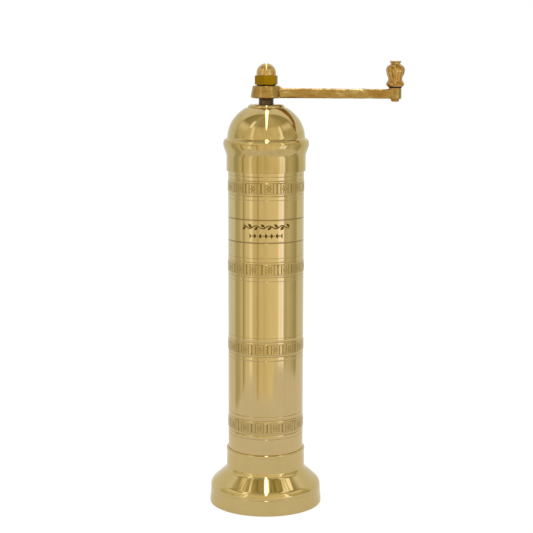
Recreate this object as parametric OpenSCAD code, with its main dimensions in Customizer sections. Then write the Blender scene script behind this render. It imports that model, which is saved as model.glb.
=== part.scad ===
// Brass table mill turned by a crank: a straight tube on a flared foot, a domed filling cap,
// and a conical burr set whose gap is set by a thumb screw under the foot.
// Millimetres. The origin is the centre of the foot's resting rim. The mill's axis is +Z, and
// the crank points along +X.

/* [Tube] */
// Outside diameter of the body tube
tube_d = 38; // [33:0.1:46]
// Wall of the body tube
tube_wall = 1; // [0.8:0.1:1.4]
// Length of the body tube
tube_l = 168.4; // [156:0.1:205]
// Number of rolled ornament bands
band_n = 4; // [1:1:4]
// Distance between the middles of two bands
band_pitch = 40.1; // [34:0.1:48]
// Height of one rolled band
band_h = 4.7; // [3:0.1:6]
// How far rolling raises a band above the tube
band_rise = 0.2; // [0.1:0.05:0.3]
// Middle of the lowest band above the foot's upper edge
band_first = 13.9; // [11:0.1:16]
// Distance from a band's middle to the inner of its fine lines
line_near = 3.7; // [3.4:0.1:4.2]
// Distance from a band's middle to the outer of its fine lines
line_far = 5.8; // [5:0.1:6.5]
// Depth of a fine turned line
line_depth = 0.12; // [0.05:0.01:0.2]
// Width of a fine turned line
line_w = 0.3; // [0.2:0.05:0.5]
// Height of the plain panel between the two deeper lines
panel_h = 11.1; // [8:0.1:14]
// Depth of the two lines that frame the panel
panel_line_depth = 0.2; // [0.1:0.05:0.3]

/* [Foot] */
// Diameter of the foot's rim
rim_d = 57; // [48:0.5:68]
// Height of the foot's upright rim
rim_h = 8.6; // [6:0.1:10]
// Wall of the foot at its rim
rim_wall = 2.2; // [1.5:0.1:3]
// Wall of the foot at its flare, square to the surface
flare_wall = 1.5; // [1:0.1:2]
// Slope of the flare from the upright
flare_angle = 46.7; // [40:0.1:52]
// Radius of the round between flare and rim
shoulder_r = 3; // [2:0.1:4]
// Radius of the hollow between flare and neck
hollow_r = 2; // [1:0.1:3]
// Wall of the foot's neck around the tube
neck_wall = 0.65; // [0.5:0.05:1]
// How far the foot's neck covers the tube
neck_grip = 11; // [9:0.1:14]
// Height of the ledge that carries the tube's lower end
ledge_h = 1.5; // [1:0.1:2]

/* [Cap] */
// Wall of the spun cap
cap_wall = 0.7; // [0.6:0.05:0.9]
// Height of the cap's sleeve below its seat on the tube
sleeve_h = 15.7; // [14:0.1:18]
// How far the bead stands out from the sleeve
bead_rise = 1.67; // [1:0.01:2.2]
// Half the width of the dome
dome_rx = 19.45; // [19.3:0.05:19.6]
// Height of the whole dome above its widest line, before the top is flattened
dome_rz = 18.8; // [16:0.1:20]
// Radius of the dome's flat top
dome_flat_r = 10.1; // [9.6:0.1:11]
// Diameter of the bush's flange on top of the cap
bush_flange_d = 18.3; // [16:0.1:19.4]
// Thickness of the bush's flange
bush_flange_h = 1.7; // [1.2:0.1:2.2]
// Diameter of the bush's shank inside the cap
bush_shank_d = 10.4; // [9.4:0.1:12]

/* [Spindle] */
// Diameter of the spindle rod
spindle_d = 6; // [5:0.1:7.2]
// Diameter of the spindle's neck, which runs in the cap's bush
neck_d = 7.4; // [7.4:0.1:8.4]
// Bare neck between the cap's bush and the crank
neck_gap = 3; // [2:0.05:5]
// Width across the flats of the square that drives the crank
square_w = 5.6; // [5.2:0.1:5.8]
// Diameter of the stud that takes the cap nut
stud_d = 5; // [4:0.1:5.2]
// Pitch of the stud's thread
stud_pitch = 0.8; // [0.7:0.05:1]

/* [Crank] */
// Distance from the mill's axis to the knob's axis
crank_r = 63.8; // [50:0.1:80]
// Height of the crank's hub
hub_h = 6.15; // [5:0.05:8]
// Diameter of the hub at its upper edge
hub_top_d = 13.4; // [12:0.1:16]
// Diameter of the hub at its lower edge
hub_base_d = 15.4; // [13.5:0.1:18]
// Height of the crank's bar
bar_h = 5; // [3:0.05:6]
// Width of the bar at the hub
bar_w_hub = 6.6; // [5:0.1:8]
// Width of the bar at the knob
bar_w_end = 5; // [4:0.1:6]
// How far the bar drops from the hub to the knob
bar_drop = 0.25; // [0:0.05:1]
// Diameter of the boss under the knob
boss_d = 6.4; // [5.5:0.1:8]
// Height of the boss under the knob
boss_h = 5.85; // [4.5:0.05:8]
// Diameter of the pin that the knob turns on
pin_d = 3; // [2.4:0.1:3.6]

/* [Knob] */
// Height of the knob
knob_h = 12.5; // [10:0.1:16]
// Diameter of the knob's belly
knob_d = 9.4; // [8:0.1:12]
// Diameter of the knob's waist
waist_d = 6.9; // [6.4:0.1:8]
// Diameter of the knob's lower skirt
skirt_d = 9.2; // [8:0.1:11]
// Diameter of the small crown on the knob
crown_d = 6; // [5.2:0.1:7]

/* [Cap nut] */
// Width across the flats of the cap nut
nut_w = 10.4; // [10:0.1:13]
// Height of the cap nut's hexagon
nut_hex_h = 4.6; // [4:0.1:6]
// Diameter of the cap nut's dome
nut_dome_d = 9.8; // [9:0.1:11]
// Turn of the hexagon about the mill's axis
nut_turn = 20; // [0:1:59]

/* [Grinder] */
// Height of the brass carrier that holds the burr ring
carrier_h = 14; // [12:0.1:18]
// Outside diameter of the burr ring
ring_d = 26; // [21:0.1:27]
// Height of the burr ring
ring_h = 10.9; // [9:0.1:11]
// Wall of the burr ring at its wide lower mouth
ring_mouth_wall = 1.2; // [1:0.1:1.5]
// Wall of the burr ring at its narrow upper throat
ring_throat_wall = 3.8; // [3:0.1:4.2]
// Gap between the tips of the two burrs, along the radius
burr_gap = 0.35; // [0.2:0.05:0.5]
// Number of fine teeth on each burr
tooth_n = 24; // [16:1:30]
// Depth of a fine tooth
tooth_depth = 0.8; // [0.5:0.1:1]
// Number of feeding flutes on the upper part of the cone
flute_n = 5; // [3:1:6]
// Height of the cone's feeding part
feeder_h = 10; // [7:0.1:14]

/* [Bridges and spring] */
// Width of the bridge under the burrs
lower_bridge_w = 9; // [8:0.1:11]
// Thickness of the bridge under the burrs
lower_bridge_t = 2; // [1.5:0.1:2.5]
// Length of the threaded boss below the bridge's strip
bridge_boss_h = 6.5; // [6:0.1:7]
// Width of the bridge in the tube's mouth
upper_bridge_w = 8; // [6:0.1:10]
// Thickness of the bridge in the tube's mouth
upper_bridge_t = 1.5; // [1:0.1:2]
// Depth of the upper bridge below the tube's mouth
upper_bridge_depth = 13.9; // [12:0.1:18]
// Length of the spring when fitted
spring_l = 24; // [18:0.5:30]
// Wire diameter of the spring
wire_d = 1.1; // [0.8:0.1:1.3]
// Number of turns of the spring
spring_turns = 7; // [5:1:9]

/* [Thumb screw] */
// Diameter of the adjusting thumb screw's head
thumb_d = 14; // [11:0.5:16]
// Thickness of the thumb screw's head
thumb_h = 3.8; // [3:0.1:4.2]
// Diameter of the thumb screw's thread
thumb_thread_d = 5; // [4.4:0.1:5.4]
// Pitch of the thumb screw's thread
thumb_pitch = 0.8; // [0.7:0.05:1]
// Free travel of the thumb screw before its head meets the lock nut
thumb_travel = 1.3; // [1.1:0.1:1.5]
// Diameter of the ball between thumb screw and spindle
ball_d = 3; // [2.6:0.1:3.2]

/* [Clearances] */
// Radial clearance of a part that turns in a bush
turn_gap = 0.05; // [0.03:0.01:0.08]
// Radial clearance of the cap's sleeve on the tube
slide_gap = 0.1; // [0.08:0.01:0.15]
// Clearance of parts that are pressed, pinned or screwed together
press_gap = 0.02; // [0.01:0.01:0.04]

/* [Hidden] */
$fn = 96;
eps = 0.01;
over = 1; // how far a cutting tool runs past the face that it opens

// Finishes
polished_brass = "#d2b56a";
cast_brass = "#b98f42";
nut_brass = "#a97c1e";
dark_steel = "#4d463f";
steel = "#9a9a98";

// Tube
tube_r = tube_d / 2;
bore_r = tube_r - tube_wall;

// Foot, from the rim up to the neck
rim_r = rim_d / 2;
foot_bore_r = tube_r + press_gap;
neck_r = foot_bore_r + neck_wall;
rim_lip = 0.35;                    // how far the rim's bottom bead stands out
rim_taper = 0.5;                   // how much smaller the rim is at its top
bead_h = 1.7;                      // height of the bead on the neck's upper edge
bead_out = 0.2;                    // how far that bead stands out
groove_h = 0.8;                    // height of the groove above the rim
shoulder_x = rim_r - rim_taper - 0.4 - shoulder_r;
shoulder_z = rim_h + groove_h;
flare_tilt = 90 - flare_angle;     // where the shoulder round meets the flare
flare_low = [shoulder_x + shoulder_r * cos(flare_tilt), shoulder_z + shoulder_r * sin(flare_tilt)];
flare_top_r = neck_r + hollow_r * (1 - cos(flare_tilt));
flare_top_z = flare_low[1] + (flare_low[0] - flare_top_r) / tan(flare_angle);
hollow_z = flare_top_z + hollow_r * sin(flare_tilt);
wall_in = flare_wall / cos(flare_angle); // the flare's wall, measured along the radius
tube_z = hollow_z - 1.4;           // the tube's lower end
foot_top = tube_z + neck_grip;
tube_top = tube_z + tube_l;
band_z0 = foot_top + band_first;
panel_z0 = band_z0 + (band_n - 1) * band_pitch - 26.9; // lower line of the panel

// Cap, measured from its lower edge
cap_z = tube_top - sleeve_h;
sleeve_in = tube_r + slide_gap;
sleeve_r = sleeve_in + cap_wall;
bead_r = sleeve_r + bead_rise;
bead_start = 7;                    // where the sleeve begins to swell into the bead
bead_z = 13.4;                     // the bead's widest line
bead_top = 15.9;
dome_z = 15.1;                     // the dome's widest line
dome_wide = dome_rx * tube_r / 19; // the dome keeps to the tube's width
dome_top = dome_z + dome_rz * sqrt(1 - pow(dome_flat_r / dome_wide, 2));
cap_top = cap_z + dome_top;
bush_top = cap_top + bush_flange_h;
bush_shank_h = 3.3;                // length of the shank below the cap's upper face

// Spindle and crank
spindle_r = spindle_d / 2;
spindle_neck_r = neck_d / 2;
crank_z = bush_top + neck_gap;
hub_top = crank_z + hub_h;
square_h = hub_h - 0.35;
washer_t = 0.5;
nut_z = hub_top + washer_t;
nut_round_z = nut_z + nut_hex_h + 0.95; // middle of the nut's domed top
nut_bore_top = nut_round_z + 2.45;
stud_top = nut_bore_top - 0.5;
boss_z = crank_z - 0.55;
knob_washer_z = boss_z + boss_h;
knob_washer_t = 0.45;
knob_z = knob_washer_z + knob_washer_t + turn_gap;
pin_r = pin_d / 2;
pin_tail_h = 1.1;
pin_head_r = pin_r + 0.6;
recess_h = 0.6;                    // depth of the recess in the knob's crown for the pin's head

// Grinder, from the tube's lower end up
flange_h = 1.45;                   // thickness of the burr ring's flange
flange_out = 1;                    // how far that flange stands out
ring_r = ring_d / 2;
carrier_r = bore_r - press_gap;
cone_z = tube_z + 1.5;
ring_mouth_r = ring_r - ring_mouth_wall;
ring_throat_r = ring_r - ring_throat_wall;
ring_slope = (ring_mouth_r - ring_throat_r) / ring_h;
cone_r = ring_mouth_r - ring_slope * (cone_z - tube_z) - burr_gap;
cone_mid_z = tube_z + ring_h;
cone_mid_r = ring_throat_r - 2;
cone_top_z = cone_mid_z + feeder_h;
cone_top_r = spindle_r + 2;
pin_hole_r = 1;
drive_pin_z = cone_top_z - 2.4;

// Ball, thumb screw and lower bridge, from the tube's lower end down
bridge_screw_y = (ring_r + flange_out + carrier_r) / 2 - 0.1;
bridge_end_r = bridge_screw_y + 1.7;
bridge_z = tube_z - lower_bridge_t;
bridge_boss_z = bridge_z - bridge_boss_h;
bridge_boss_r = 5.5;
ball_r = ball_d / 2;
cup_r = 1.2;                       // radius of the 90 degree cups that hold the ball
cup_from_ball = (ball_r + press_gap) * sqrt(2) - cup_r;
spindle_z = tube_z - 2;            // the spindle's lower end
ball_z = spindle_z - cup_from_ball;
screw_tip_z = ball_z - cup_from_ball;
thread_top_z = screw_tip_z - 0.7;  // the bridge's thread ends and its bearing begins
lock_nut_h = 2.2;
lock_nut_z = bridge_boss_z - press_gap - lock_nut_h;
thumb_z = lock_nut_z - thumb_travel - thumb_h;
ledge_r = bridge_end_r + 0.3;

// Upper bridge, guide bush, spring and its seat
upper_z = tube_top - upper_bridge_depth;
tab_h = 6.5;
rivet_z = upper_z + 5;
guide_r = spindle_r + turn_gap;
guide_shank_r = guide_r + 1.45;
guide_flange_r = guide_shank_r + 1;
guide_low_z = upper_z - 3;
spring_r = spindle_r + 1.6;
spring_top_z = guide_low_z - press_gap;
seat_t = 1;
seat_z = spring_top_z - spring_l - press_gap - seat_t;
seat_r = spring_r + 1.6;
clip_t = 0.8;
clip_z = seat_z - press_gap - clip_t;
clip_groove_r = spindle_r - 0.6;
neck_z = tube_top - 3;             // where the spindle's neck begins

// Points of a round from angle a to angle b, in degrees, as an ellipse of rx by rz about c.
function arc(c, rx, rz, a, b, n = 8) =
    [for (i = [0:n]) let (t = a + (b - a) * i / n) c + [rx * cos(t), rz * sin(t)]];

// A path moved sideways by d, to the left of its direction.
function moved(path, d) = let (last = len(path) - 1) [for (i = [0:last])
    let (along = path[min(i + 1, last)] - path[max(i - 1, 0)])
    path[i] + d * [-along[1], along[0]] / norm(along)];

function backwards(path) = [for (i = [len(path) - 1:-1:0]) path[i]];

// One turned line in an upright wall of radius r, at height z.
function turned_line(r, z, depth) =
    [[r, z - line_w / 2], [r - depth, z], [r, z + line_w / 2]];

// The rolled band at height z, with the two fine lines below and above it.
function band_outline(z) = concat(
    turned_line(tube_r, z - line_far, line_depth),
    turned_line(tube_r, z - line_near, line_depth),
    [[tube_r, z - band_h / 2 - band_rise], [tube_r + band_rise, z - band_h / 2]],
    [[tube_r + band_rise, z + band_h / 2], [tube_r, z + band_h / 2 + band_rise]],
    turned_line(tube_r, z + line_near, line_depth),
    turned_line(tube_r, z + line_far, line_depth));

function panel_outline() = concat(
    turned_line(tube_r, panel_z0, panel_line_depth),
    turned_line(tube_r, panel_z0 + panel_h, panel_line_depth));

// A thread drawn as rings: ridges of radius r, one pitch apart, from z0 to z1.
function thread_outline(r, pitch, z0, z1) = let (n = floor((z1 - z0) / pitch), depth = 0.6 * pitch)
    [for (i = [0:n - 1], k = [0:1]) [r - (k == 0 ? depth : 0), z0 + (i + k / 2) * pitch]];

// A tube of circular section swept along the points of a path.
module sweep(path, r, sides = 8) {
    n = len(path);
    rings = [for (i = [0:n - 1]) let (
        along = path[min(i + 1, n - 1)] - path[max(i - 1, 0)],
        t = along / norm(along),
        u = cross(t, [0, 0, 1]) / norm(cross(t, [0, 0, 1])),
        v = cross(u, t))
        for (k = [0:sides - 1]) path[i] + r * (cos(360 * k / sides) * u + sin(360 * k / sides) * v)];
    sides_faces = [for (i = [0:n - 2], k = [0:sides - 1]) let (m = (k + 1) % sides)
        [i * sides + k, i * sides + m, (i + 1) * sides + m, (i + 1) * sides + k]];
    polyhedron(rings, concat([[for (k = [sides - 1:-1:0]) k]], sides_faces,
        [[for (k = [0:sides - 1]) (n - 1) * sides + k]]));
}

// A hole of radius r from z0 to z1, on the mill's axis.
module bore(r, z0, z1) {
    translate([0, 0, z0]) cylinder(r = r, h = z1 - z0);
}

module ring(r_out, r_in, z, h) {
    difference() {
        bore(r_out, z, z + h);
        bore(r_in, z - over, z + h + over);
    }
}

module mill_tube() {
    mouth_round = 0.25;
    color(polished_brass) difference() {
        rotate_extrude() polygon(concat(
            [[bore_r, tube_z], [tube_r, tube_z]],
            [for (i = [0:band_n - 1]) if (i < band_n - 1) each band_outline(band_z0 + i * band_pitch)],
            panel_outline(),
            band_outline(band_z0 + (band_n - 1) * band_pitch),
            [[tube_r, tube_top - mouth_round], [tube_r - mouth_round, tube_top],
             [bore_r, tube_top]]));
        translate([0, 0, rivet_z]) rotate([90, 0, 0])
            cylinder(r = pin_hole_r + press_gap, h = tube_d + 2 * over, center = true);
    }
}

module foot() {
    inner_low = [flare_low[0] - wall_in, flare_low[1]];
    ledge_z = tube_z - ledge_h;
    inner_top_r = inner_low[0] - (ledge_z - inner_low[1]) * tan(flare_angle);
    color(polished_brass) rotate_extrude() polygon(concat(
        [[rim_r - rim_wall, 0], [rim_r - rim_lip, 0], [rim_r, 0.4], [rim_r, 1.5],
         [rim_r - rim_lip, 3], [rim_r - rim_taper, rim_h - 0.4], [rim_r - rim_taper - 0.2, rim_h],
         [rim_r - rim_taper - 0.6, rim_h + groove_h / 2]],
        arc([shoulder_x, shoulder_z], shoulder_r, shoulder_r, 0, flare_tilt),
        arc([neck_r + hollow_r, hollow_z], hollow_r, hollow_r, 180 + flare_tilt, 180, 6),
        [[neck_r, foot_top - bead_h], [neck_r + bead_out, foot_top - bead_h + 0.4],
         [neck_r + bead_out, foot_top - 0.4], [neck_r, foot_top], [foot_bore_r, foot_top],
         [foot_bore_r, tube_z - press_gap], [ledge_r, tube_z - press_gap], [ledge_r, ledge_z],
         [inner_top_r, ledge_z], [rim_r - rim_wall, inner_low[1] -
             (rim_r - rim_wall - inner_low[0]) / tan(flare_angle)]]));
}

// The cap's outer face from the sleeve's edge up to the rim of its flat top.
function cap_outline() = concat(
    [[sleeve_r, 0]],
    [for (i = [0:8]) let (t = i / 8)
        [sleeve_r + bead_rise * pow(sin(90 * t), 2), bead_start + (bead_z - bead_start) * t]],
    arc([dome_wide + 0.75, bead_z], bead_r - dome_wide - 0.75, bead_top - bead_z, 15, 80, 5),
    [[dome_wide + 0.3, bead_top + 0.05]],
    arc([0, dome_z], dome_wide, dome_rz, 4.5, acos(dome_flat_r / dome_wide), 20));

module dome_cap() {
    outer = cap_outline();
    inner = [for (p = moved(outer, cap_wall)) if (p[1] < dome_top - cap_wall - eps) p];
    color(polished_brass) translate([0, 0, cap_z]) rotate_extrude() polygon(concat(
        [[sleeve_in, 0]], outer,
        [[bush_shank_d / 2 + press_gap, dome_top],
         [bush_shank_d / 2 + press_gap, dome_top - cap_wall],
         [dome_flat_r - 0.25, dome_top - cap_wall]],
        backwards(inner)));
}

module cap_bush() {
    edge_w = 1.9; // the flange's rounded edge, measured along the radius
    edge_h = bush_flange_h - 0.1;
    flange_r = bush_flange_d / 2;
    color(polished_brass) translate([0, 0, cap_top]) rotate_extrude() polygon(concat(
        [[spindle_neck_r + turn_gap, -bush_shank_h], [bush_shank_d / 2, -bush_shank_h],
         [bush_shank_d / 2, press_gap], [flange_r, press_gap]],
        arc([flange_r - edge_w, bush_flange_h - edge_h], edge_w, edge_h, 0, 90),
        [[spindle_neck_r + turn_gap, bush_flange_h]]));
}

module cap_bush_nut() {
    nut_h = bush_shank_h - cap_wall - 0.6;
    color(polished_brass)
        ring(bush_shank_d / 2 + 2.4, bush_shank_d / 2 + press_gap, cap_top - cap_wall - press_gap - nut_h, nut_h);
}

// The strip lies along Y, and its upturned ends follow the tube's bore.
module upper_bridge() {
    end_r = bore_r - press_gap;
    color(polished_brass) difference() {
        intersection() {
            bore(end_r, upper_z - over, upper_z + tab_h + over);
            union() {
                translate([-upper_bridge_w / 2, -tube_r, upper_z])
                    cube([upper_bridge_w, tube_d, upper_bridge_t]);
                for (side = [0, 180]) rotate([0, 0, side])
                    translate([-upper_bridge_w / 2, end_r - upper_bridge_t, upper_z])
                    cube([upper_bridge_w, upper_bridge_t + over, tab_h]);
                bore(guide_flange_r + 0.8, upper_z, upper_z + upper_bridge_t);
            }
        }
        bore(guide_shank_r + press_gap, upper_z - over, upper_z + upper_bridge_t + over);
        translate([0, 0, rivet_z]) rotate([90, 0, 0])
            cylinder(r = pin_hole_r + press_gap, h = tube_d, center = true);
    }
}

// Two rivets through the tube, flush outside so that the cap's sleeve passes over them.
module bridge_rivets() {
    head_h = 0.9;
    head_y = bore_r - upper_bridge_t - 2 * press_gap - head_h;
    color(polished_brass) for (side = [0, 180]) rotate([0, 0, side])
        translate([0, -head_y, rivet_z]) rotate([90, 0, 0]) {
            cylinder(r = pin_hole_r, h = tube_r - 0.05 - head_y);
            cylinder(r = pin_hole_r + 0.7, h = head_h);
        }
}

module guide_bush() {
    color(cast_brass) difference() {
        union() {
            bore(guide_flange_r, guide_low_z, upper_z - press_gap);
            bore(guide_shank_r, guide_low_z, upper_z + upper_bridge_t + 1.5);
        }
        bore(guide_r, guide_low_z - over, upper_z + upper_bridge_t + 2.5);
    }
}

module burr_carrier() {
    lip_r = ring_throat_r + 2.4;
    seat_r_low = ring_r + flange_out + press_gap;
    seat_top = tube_z + ring_h + 0.1;
    color(cast_brass) difference() {
        rotate_extrude() polygon([
            [seat_r_low, tube_z], [carrier_r, tube_z], [carrier_r, tube_z + carrier_h],
            [carrier_r - 0.8, tube_z + carrier_h], [lip_r, seat_top + 0.6], [lip_r, seat_top],
            [ring_r + press_gap, seat_top], [ring_r + press_gap, tube_z + flange_h + press_gap],
            [seat_r_low, tube_z + flange_h + press_gap]]);
        bridge_screw_places() translate([0, 0, tube_z - over])
            cylinder(r = pin_hole_r + press_gap, h = 6.5 + over);
    }
}

module burr_ring() {
    low_z = tube_z + press_gap;
    color(steel) difference() {
        rotate_extrude() polygon([
            [ring_mouth_r, low_z], [ring_r + flange_out, low_z],
            [ring_r + flange_out, tube_z + flange_h], [ring_r, tube_z + flange_h],
            [ring_r, tube_z + ring_h], [ring_throat_r, tube_z + ring_h]]);
        for (i = [0:tooth_n - 1]) rotate([0, 0, i * 360 / tooth_n])
            translate([(ring_mouth_r + ring_throat_r) / 2, 0, tube_z + ring_h / 2])
            rotate([12, -atan(ring_slope), 0])
            cylinder(r = tooth_depth, h = ring_h * 1.4, center = true, $fn = 4);
    }
}

// Places a child at both screws of the lower bridge.
module bridge_screw_places() {
    for (side = [-1, 1]) translate([0, side * bridge_screw_y, 0]) children();
}

module lower_bridge() {
    color(steel) difference() {
        union() {
            intersection() {
                bore(bridge_end_r, bridge_z, tube_z);
                translate([-lower_bridge_w / 2, -tube_r, bridge_z])
                    cube([lower_bridge_w, tube_d, lower_bridge_t - press_gap]);
            }
            bore(bridge_boss_r, bridge_boss_z, bridge_z + eps);
        }
        bore(thumb_thread_d / 2 + turn_gap, bridge_boss_z - over, thread_top_z + eps);
        bore(guide_r, thread_top_z, tube_z + over);
        bridge_screw_places() translate([0, 0, bridge_z - over])
            cylinder(r = pin_hole_r + press_gap, h = lower_bridge_t + 2 * over);
    }
}

module bridge_screws() {
    head_r = 1.7;
    head_h = 1.3;
    slot_w = 0.5;
    color(steel) bridge_screw_places() difference() {
        union() {
            translate([0, 0, bridge_z - press_gap - head_h]) cylinder(r = head_r, h = head_h);
            translate([0, 0, bridge_z - press_gap - eps])
                cylinder(r = pin_hole_r, h = lower_bridge_t + 6.5);
        }
        translate([-head_r - over, -slot_w / 2, bridge_z - press_gap - head_h - over])
            cube([2 * (head_r + over), slot_w, 0.5 + over]);
    }
}

module hexagon(across, z, h, turn = 0) {
    rotate([0, 0, turn]) translate([0, 0, z]) cylinder(d = across / cos(30), h = h, $fn = 6);
}

module lock_nut() {
    color(steel) difference() {
        hexagon(8, lock_nut_z, lock_nut_h);
        bore(thumb_thread_d / 2 + turn_gap, lock_nut_z - over, lock_nut_z + lock_nut_h + over);
    }
}

module adjusting_screw() {
    knurl_n = 30;
    thread_r = thumb_thread_d / 2;
    head_top = thumb_z + thumb_h;
    color(cast_brass) difference() {
        rotate_extrude() polygon(concat(
            [[0, thumb_z], [thumb_d / 2 - 0.5, thumb_z], [thumb_d / 2, thumb_z + 0.5],
             [thumb_d / 2, head_top - 0.5], [thumb_d / 2 - 0.5, head_top], [thread_r, head_top]],
            thread_outline(thread_r, thumb_pitch, head_top + 0.6, screw_tip_z - 0.5),
            [[thread_r - 0.4, screw_tip_z - 0.1], [thread_r - 0.4, screw_tip_z],
             [cup_r, screw_tip_z], [0, screw_tip_z - cup_r]]));
        for (i = [0:knurl_n - 1]) rotate([0, 0, i * 360 / knurl_n])
            translate([thumb_d / 2 + 0.15, 0, thumb_z - over])
            cylinder(r = 0.45, h = thumb_h + 2 * over, $fn = 4);
    }
}

module thrust_ball() {
    color(steel) translate([0, 0, ball_z]) sphere(r = ball_r);
}

module spindle() {
    stud_r = stud_d / 2;
    round_top = crank_z - press_gap;   // the shoulder under the crank
    color(dark_steel) difference() {
        union() {
            rotate_extrude() polygon(concat(
                [[0, spindle_z + cup_r], [cup_r, spindle_z], [spindle_r - 0.3, spindle_z],
                 [spindle_r, spindle_z + 0.3], [spindle_r, clip_z - press_gap],
                 [clip_groove_r, clip_z - press_gap], [clip_groove_r, clip_z + clip_t + press_gap],
                 [spindle_r, clip_z + clip_t + press_gap], [spindle_r, neck_z],
                 [spindle_neck_r, neck_z + 1], [spindle_neck_r, round_top]],
                [[0, round_top]]));
            intersection() {
                bore(spindle_neck_r, round_top - over, crank_z + square_h);
                translate([-square_w / 2, -square_w / 2, round_top - over])
                    cube([square_w, square_w, square_h + 2 * over]);
            }
            rotate_extrude() polygon(concat(
                [[0, round_top], [stud_r - 0.5, round_top], [stud_r - 0.5, crank_z + square_h + 0.1]],
                thread_outline(stud_r, stud_pitch, crank_z + square_h + 0.2, stud_top - 0.2),
                [[stud_r - 0.6, stud_top], [0, stud_top]]));
        }
        translate([0, 0, drive_pin_z]) rotate([0, 90, 0])
            cylinder(r = pin_hole_r + press_gap, h = 4 * spindle_r, center = true);
    }
}

module spindle_spring() {
    steps = 16; // points in one turn
    low = spring_top_z - spring_l + wire_d / 2;
    rise = spring_l - wire_d;
    color(steel) sweep([for (i = [0:spring_turns * steps])
        let (turn = i / steps, share = i / (spring_turns * steps))
        [spring_r * cos(360 * turn), spring_r * sin(360 * turn), low + rise * share]], wire_d / 2);
}

module spring_seat() {
    color(steel) ring(seat_r, spindle_r + press_gap, seat_z, seat_t);
}

module seat_clip() {
    mouth_w = 2 * clip_groove_r * 0.8;
    color(steel) difference() {
        ring(spindle_r + 1.6, clip_groove_r + press_gap, clip_z, clip_t);
        translate([0, -mouth_w / 2, clip_z - over])
            cube([tube_r, mouth_w, clip_t + 2 * over]);
    }
}

module burr_cone() {
    slope = atan((cone_r - cone_mid_r) / (cone_mid_z - cone_z));
    feeder_slope = atan((cone_mid_r - cone_top_r) / feeder_h);
    color(steel) difference() {
        rotate_extrude() polygon([
            [spindle_r + press_gap, cone_z], [cone_r, cone_z], [cone_mid_r, cone_mid_z],
            [cone_top_r, cone_top_z - 0.5], [cone_top_r - 0.5, cone_top_z],
            [spindle_r + press_gap, cone_top_z]]);
        for (i = [0:tooth_n - 1]) rotate([0, 0, i * 360 / tooth_n])
            translate([(cone_r + cone_mid_r) / 2 + 0.2, 0, (cone_z + cone_mid_z) / 2])
            rotate([20, -slope, 0])
            cylinder(r = tooth_depth, h = ring_h * 1.5, center = true, $fn = 4);
        for (i = [0:flute_n - 1]) rotate([0, 0, i * 360 / flute_n])
            translate([cone_mid_r + 0.4, 0, cone_mid_z + feeder_h * 0.3])
            rotate([35, -feeder_slope, 0])
            cylinder(r = 1.8, h = feeder_h * 0.9, center = true, $fn = 24);
        translate([0, 0, drive_pin_z]) rotate([0, 90, 0])
            cylinder(r = pin_hole_r + press_gap, h = tube_d, center = true);
    }
}

module drive_pin() {
    color(steel) translate([0, 0, drive_pin_z]) rotate([0, 90, 0])
        cylinder(r = pin_hole_r, h = 2 * cone_top_r - 0.4, center = true);
}

module crank_arm() {
    hub_r = hub_base_d / 2;
    chamfer = 0.4;
    bar_start = hub_top_d / 2 - 1.5;
    bar_l = crank_r - bar_start;
    color(cast_brass) difference() {
        union() {
            rotate_extrude() polygon([
                [0, crank_z], [hub_r - chamfer, crank_z], [hub_r, crank_z + chamfer],
                [hub_r, crank_z + 1], [hub_top_d / 2, hub_top - chamfer],
                [hub_top_d / 2 - chamfer, hub_top], [0, hub_top]]);
            translate([bar_start, 0, crank_z]) rotate([0, asin(bar_drop / bar_l), 0])
                linear_extrude(bar_h)
                polygon([[0, -bar_w_hub / 2], [bar_l, -bar_w_end / 2],
                    [bar_l, bar_w_end / 2], [0, bar_w_hub / 2]]);
            translate([crank_r, 0, boss_z]) cylinder(d = boss_d, h = boss_h);
        }
        translate([-square_w / 2 - turn_gap, -square_w / 2 - turn_gap, crank_z - over])
            cube([square_w + 2 * turn_gap, square_w + 2 * turn_gap, hub_h + 2 * over]);
        translate([crank_r, 0, boss_z - over])
            cylinder(r = pin_r + press_gap, h = boss_h + 2 * over);
    }
}

// The knob's outer face from its lower edge up, as radius and height.
function knob_outline() = let (h = knob_h, belly = knob_d / 2, waist = waist_d / 2,
    skirt = skirt_d / 2, crown = crown_d / 2) concat(
    [[skirt - 0.85, 0]],
    arc([skirt - 0.75, 0.085 * h], 0.75, 0.06 * h, -60, 60, 6),
    [for (i = [1:7]) let (t = i / 8) [waist + (skirt - 0.3 - waist) * pow(cos(90 * t), 2),
        h * (0.14 + 0.13 * t)]],
    [for (i = [0:10]) let (t = i / 10) [waist + (belly - waist) * pow(sin(90 * t), 2),
        h * (0.27 + 0.37 * t)]],
    arc([crown - 0.7, 0.64 * h], belly - crown + 0.7, 0.2 * h, 9, 84, 8),
    [[crown - 0.65, 0.87 * h], [crown - 0.5, 0.92 * h], [crown, 0.975 * h], [crown - 0.1, h]]);

module crank_knob() {
    recess_r = pin_head_r + turn_gap;
    color(cast_brass) translate([crank_r, 0, knob_z]) rotate_extrude() polygon(concat(
        [[pin_r + turn_gap, 0]], knob_outline(),
        [[recess_r, knob_h], [recess_r, knob_h - recess_h], [pin_r + turn_gap, knob_h - recess_h]]));
}

// The pin is riveted under the boss, and its head lies in the knob's crown.
module knob_pin() {
    tail_r = pin_r + 0.5;
    head_z = knob_z + knob_h - recess_h + turn_gap;
    color(nut_brass) translate([crank_r, 0, 0]) rotate_extrude() polygon([
        [0, boss_z - pin_tail_h], [tail_r - 0.3, boss_z - pin_tail_h],
        [tail_r, boss_z - pin_tail_h + 0.3], [tail_r, boss_z - press_gap],
        [pin_r, boss_z - press_gap], [pin_r, head_z], [pin_head_r, head_z],
        [pin_head_r, head_z + 0.3], [pin_head_r - 0.9, head_z + 0.6], [0, head_z + 0.7]]);
}

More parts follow.
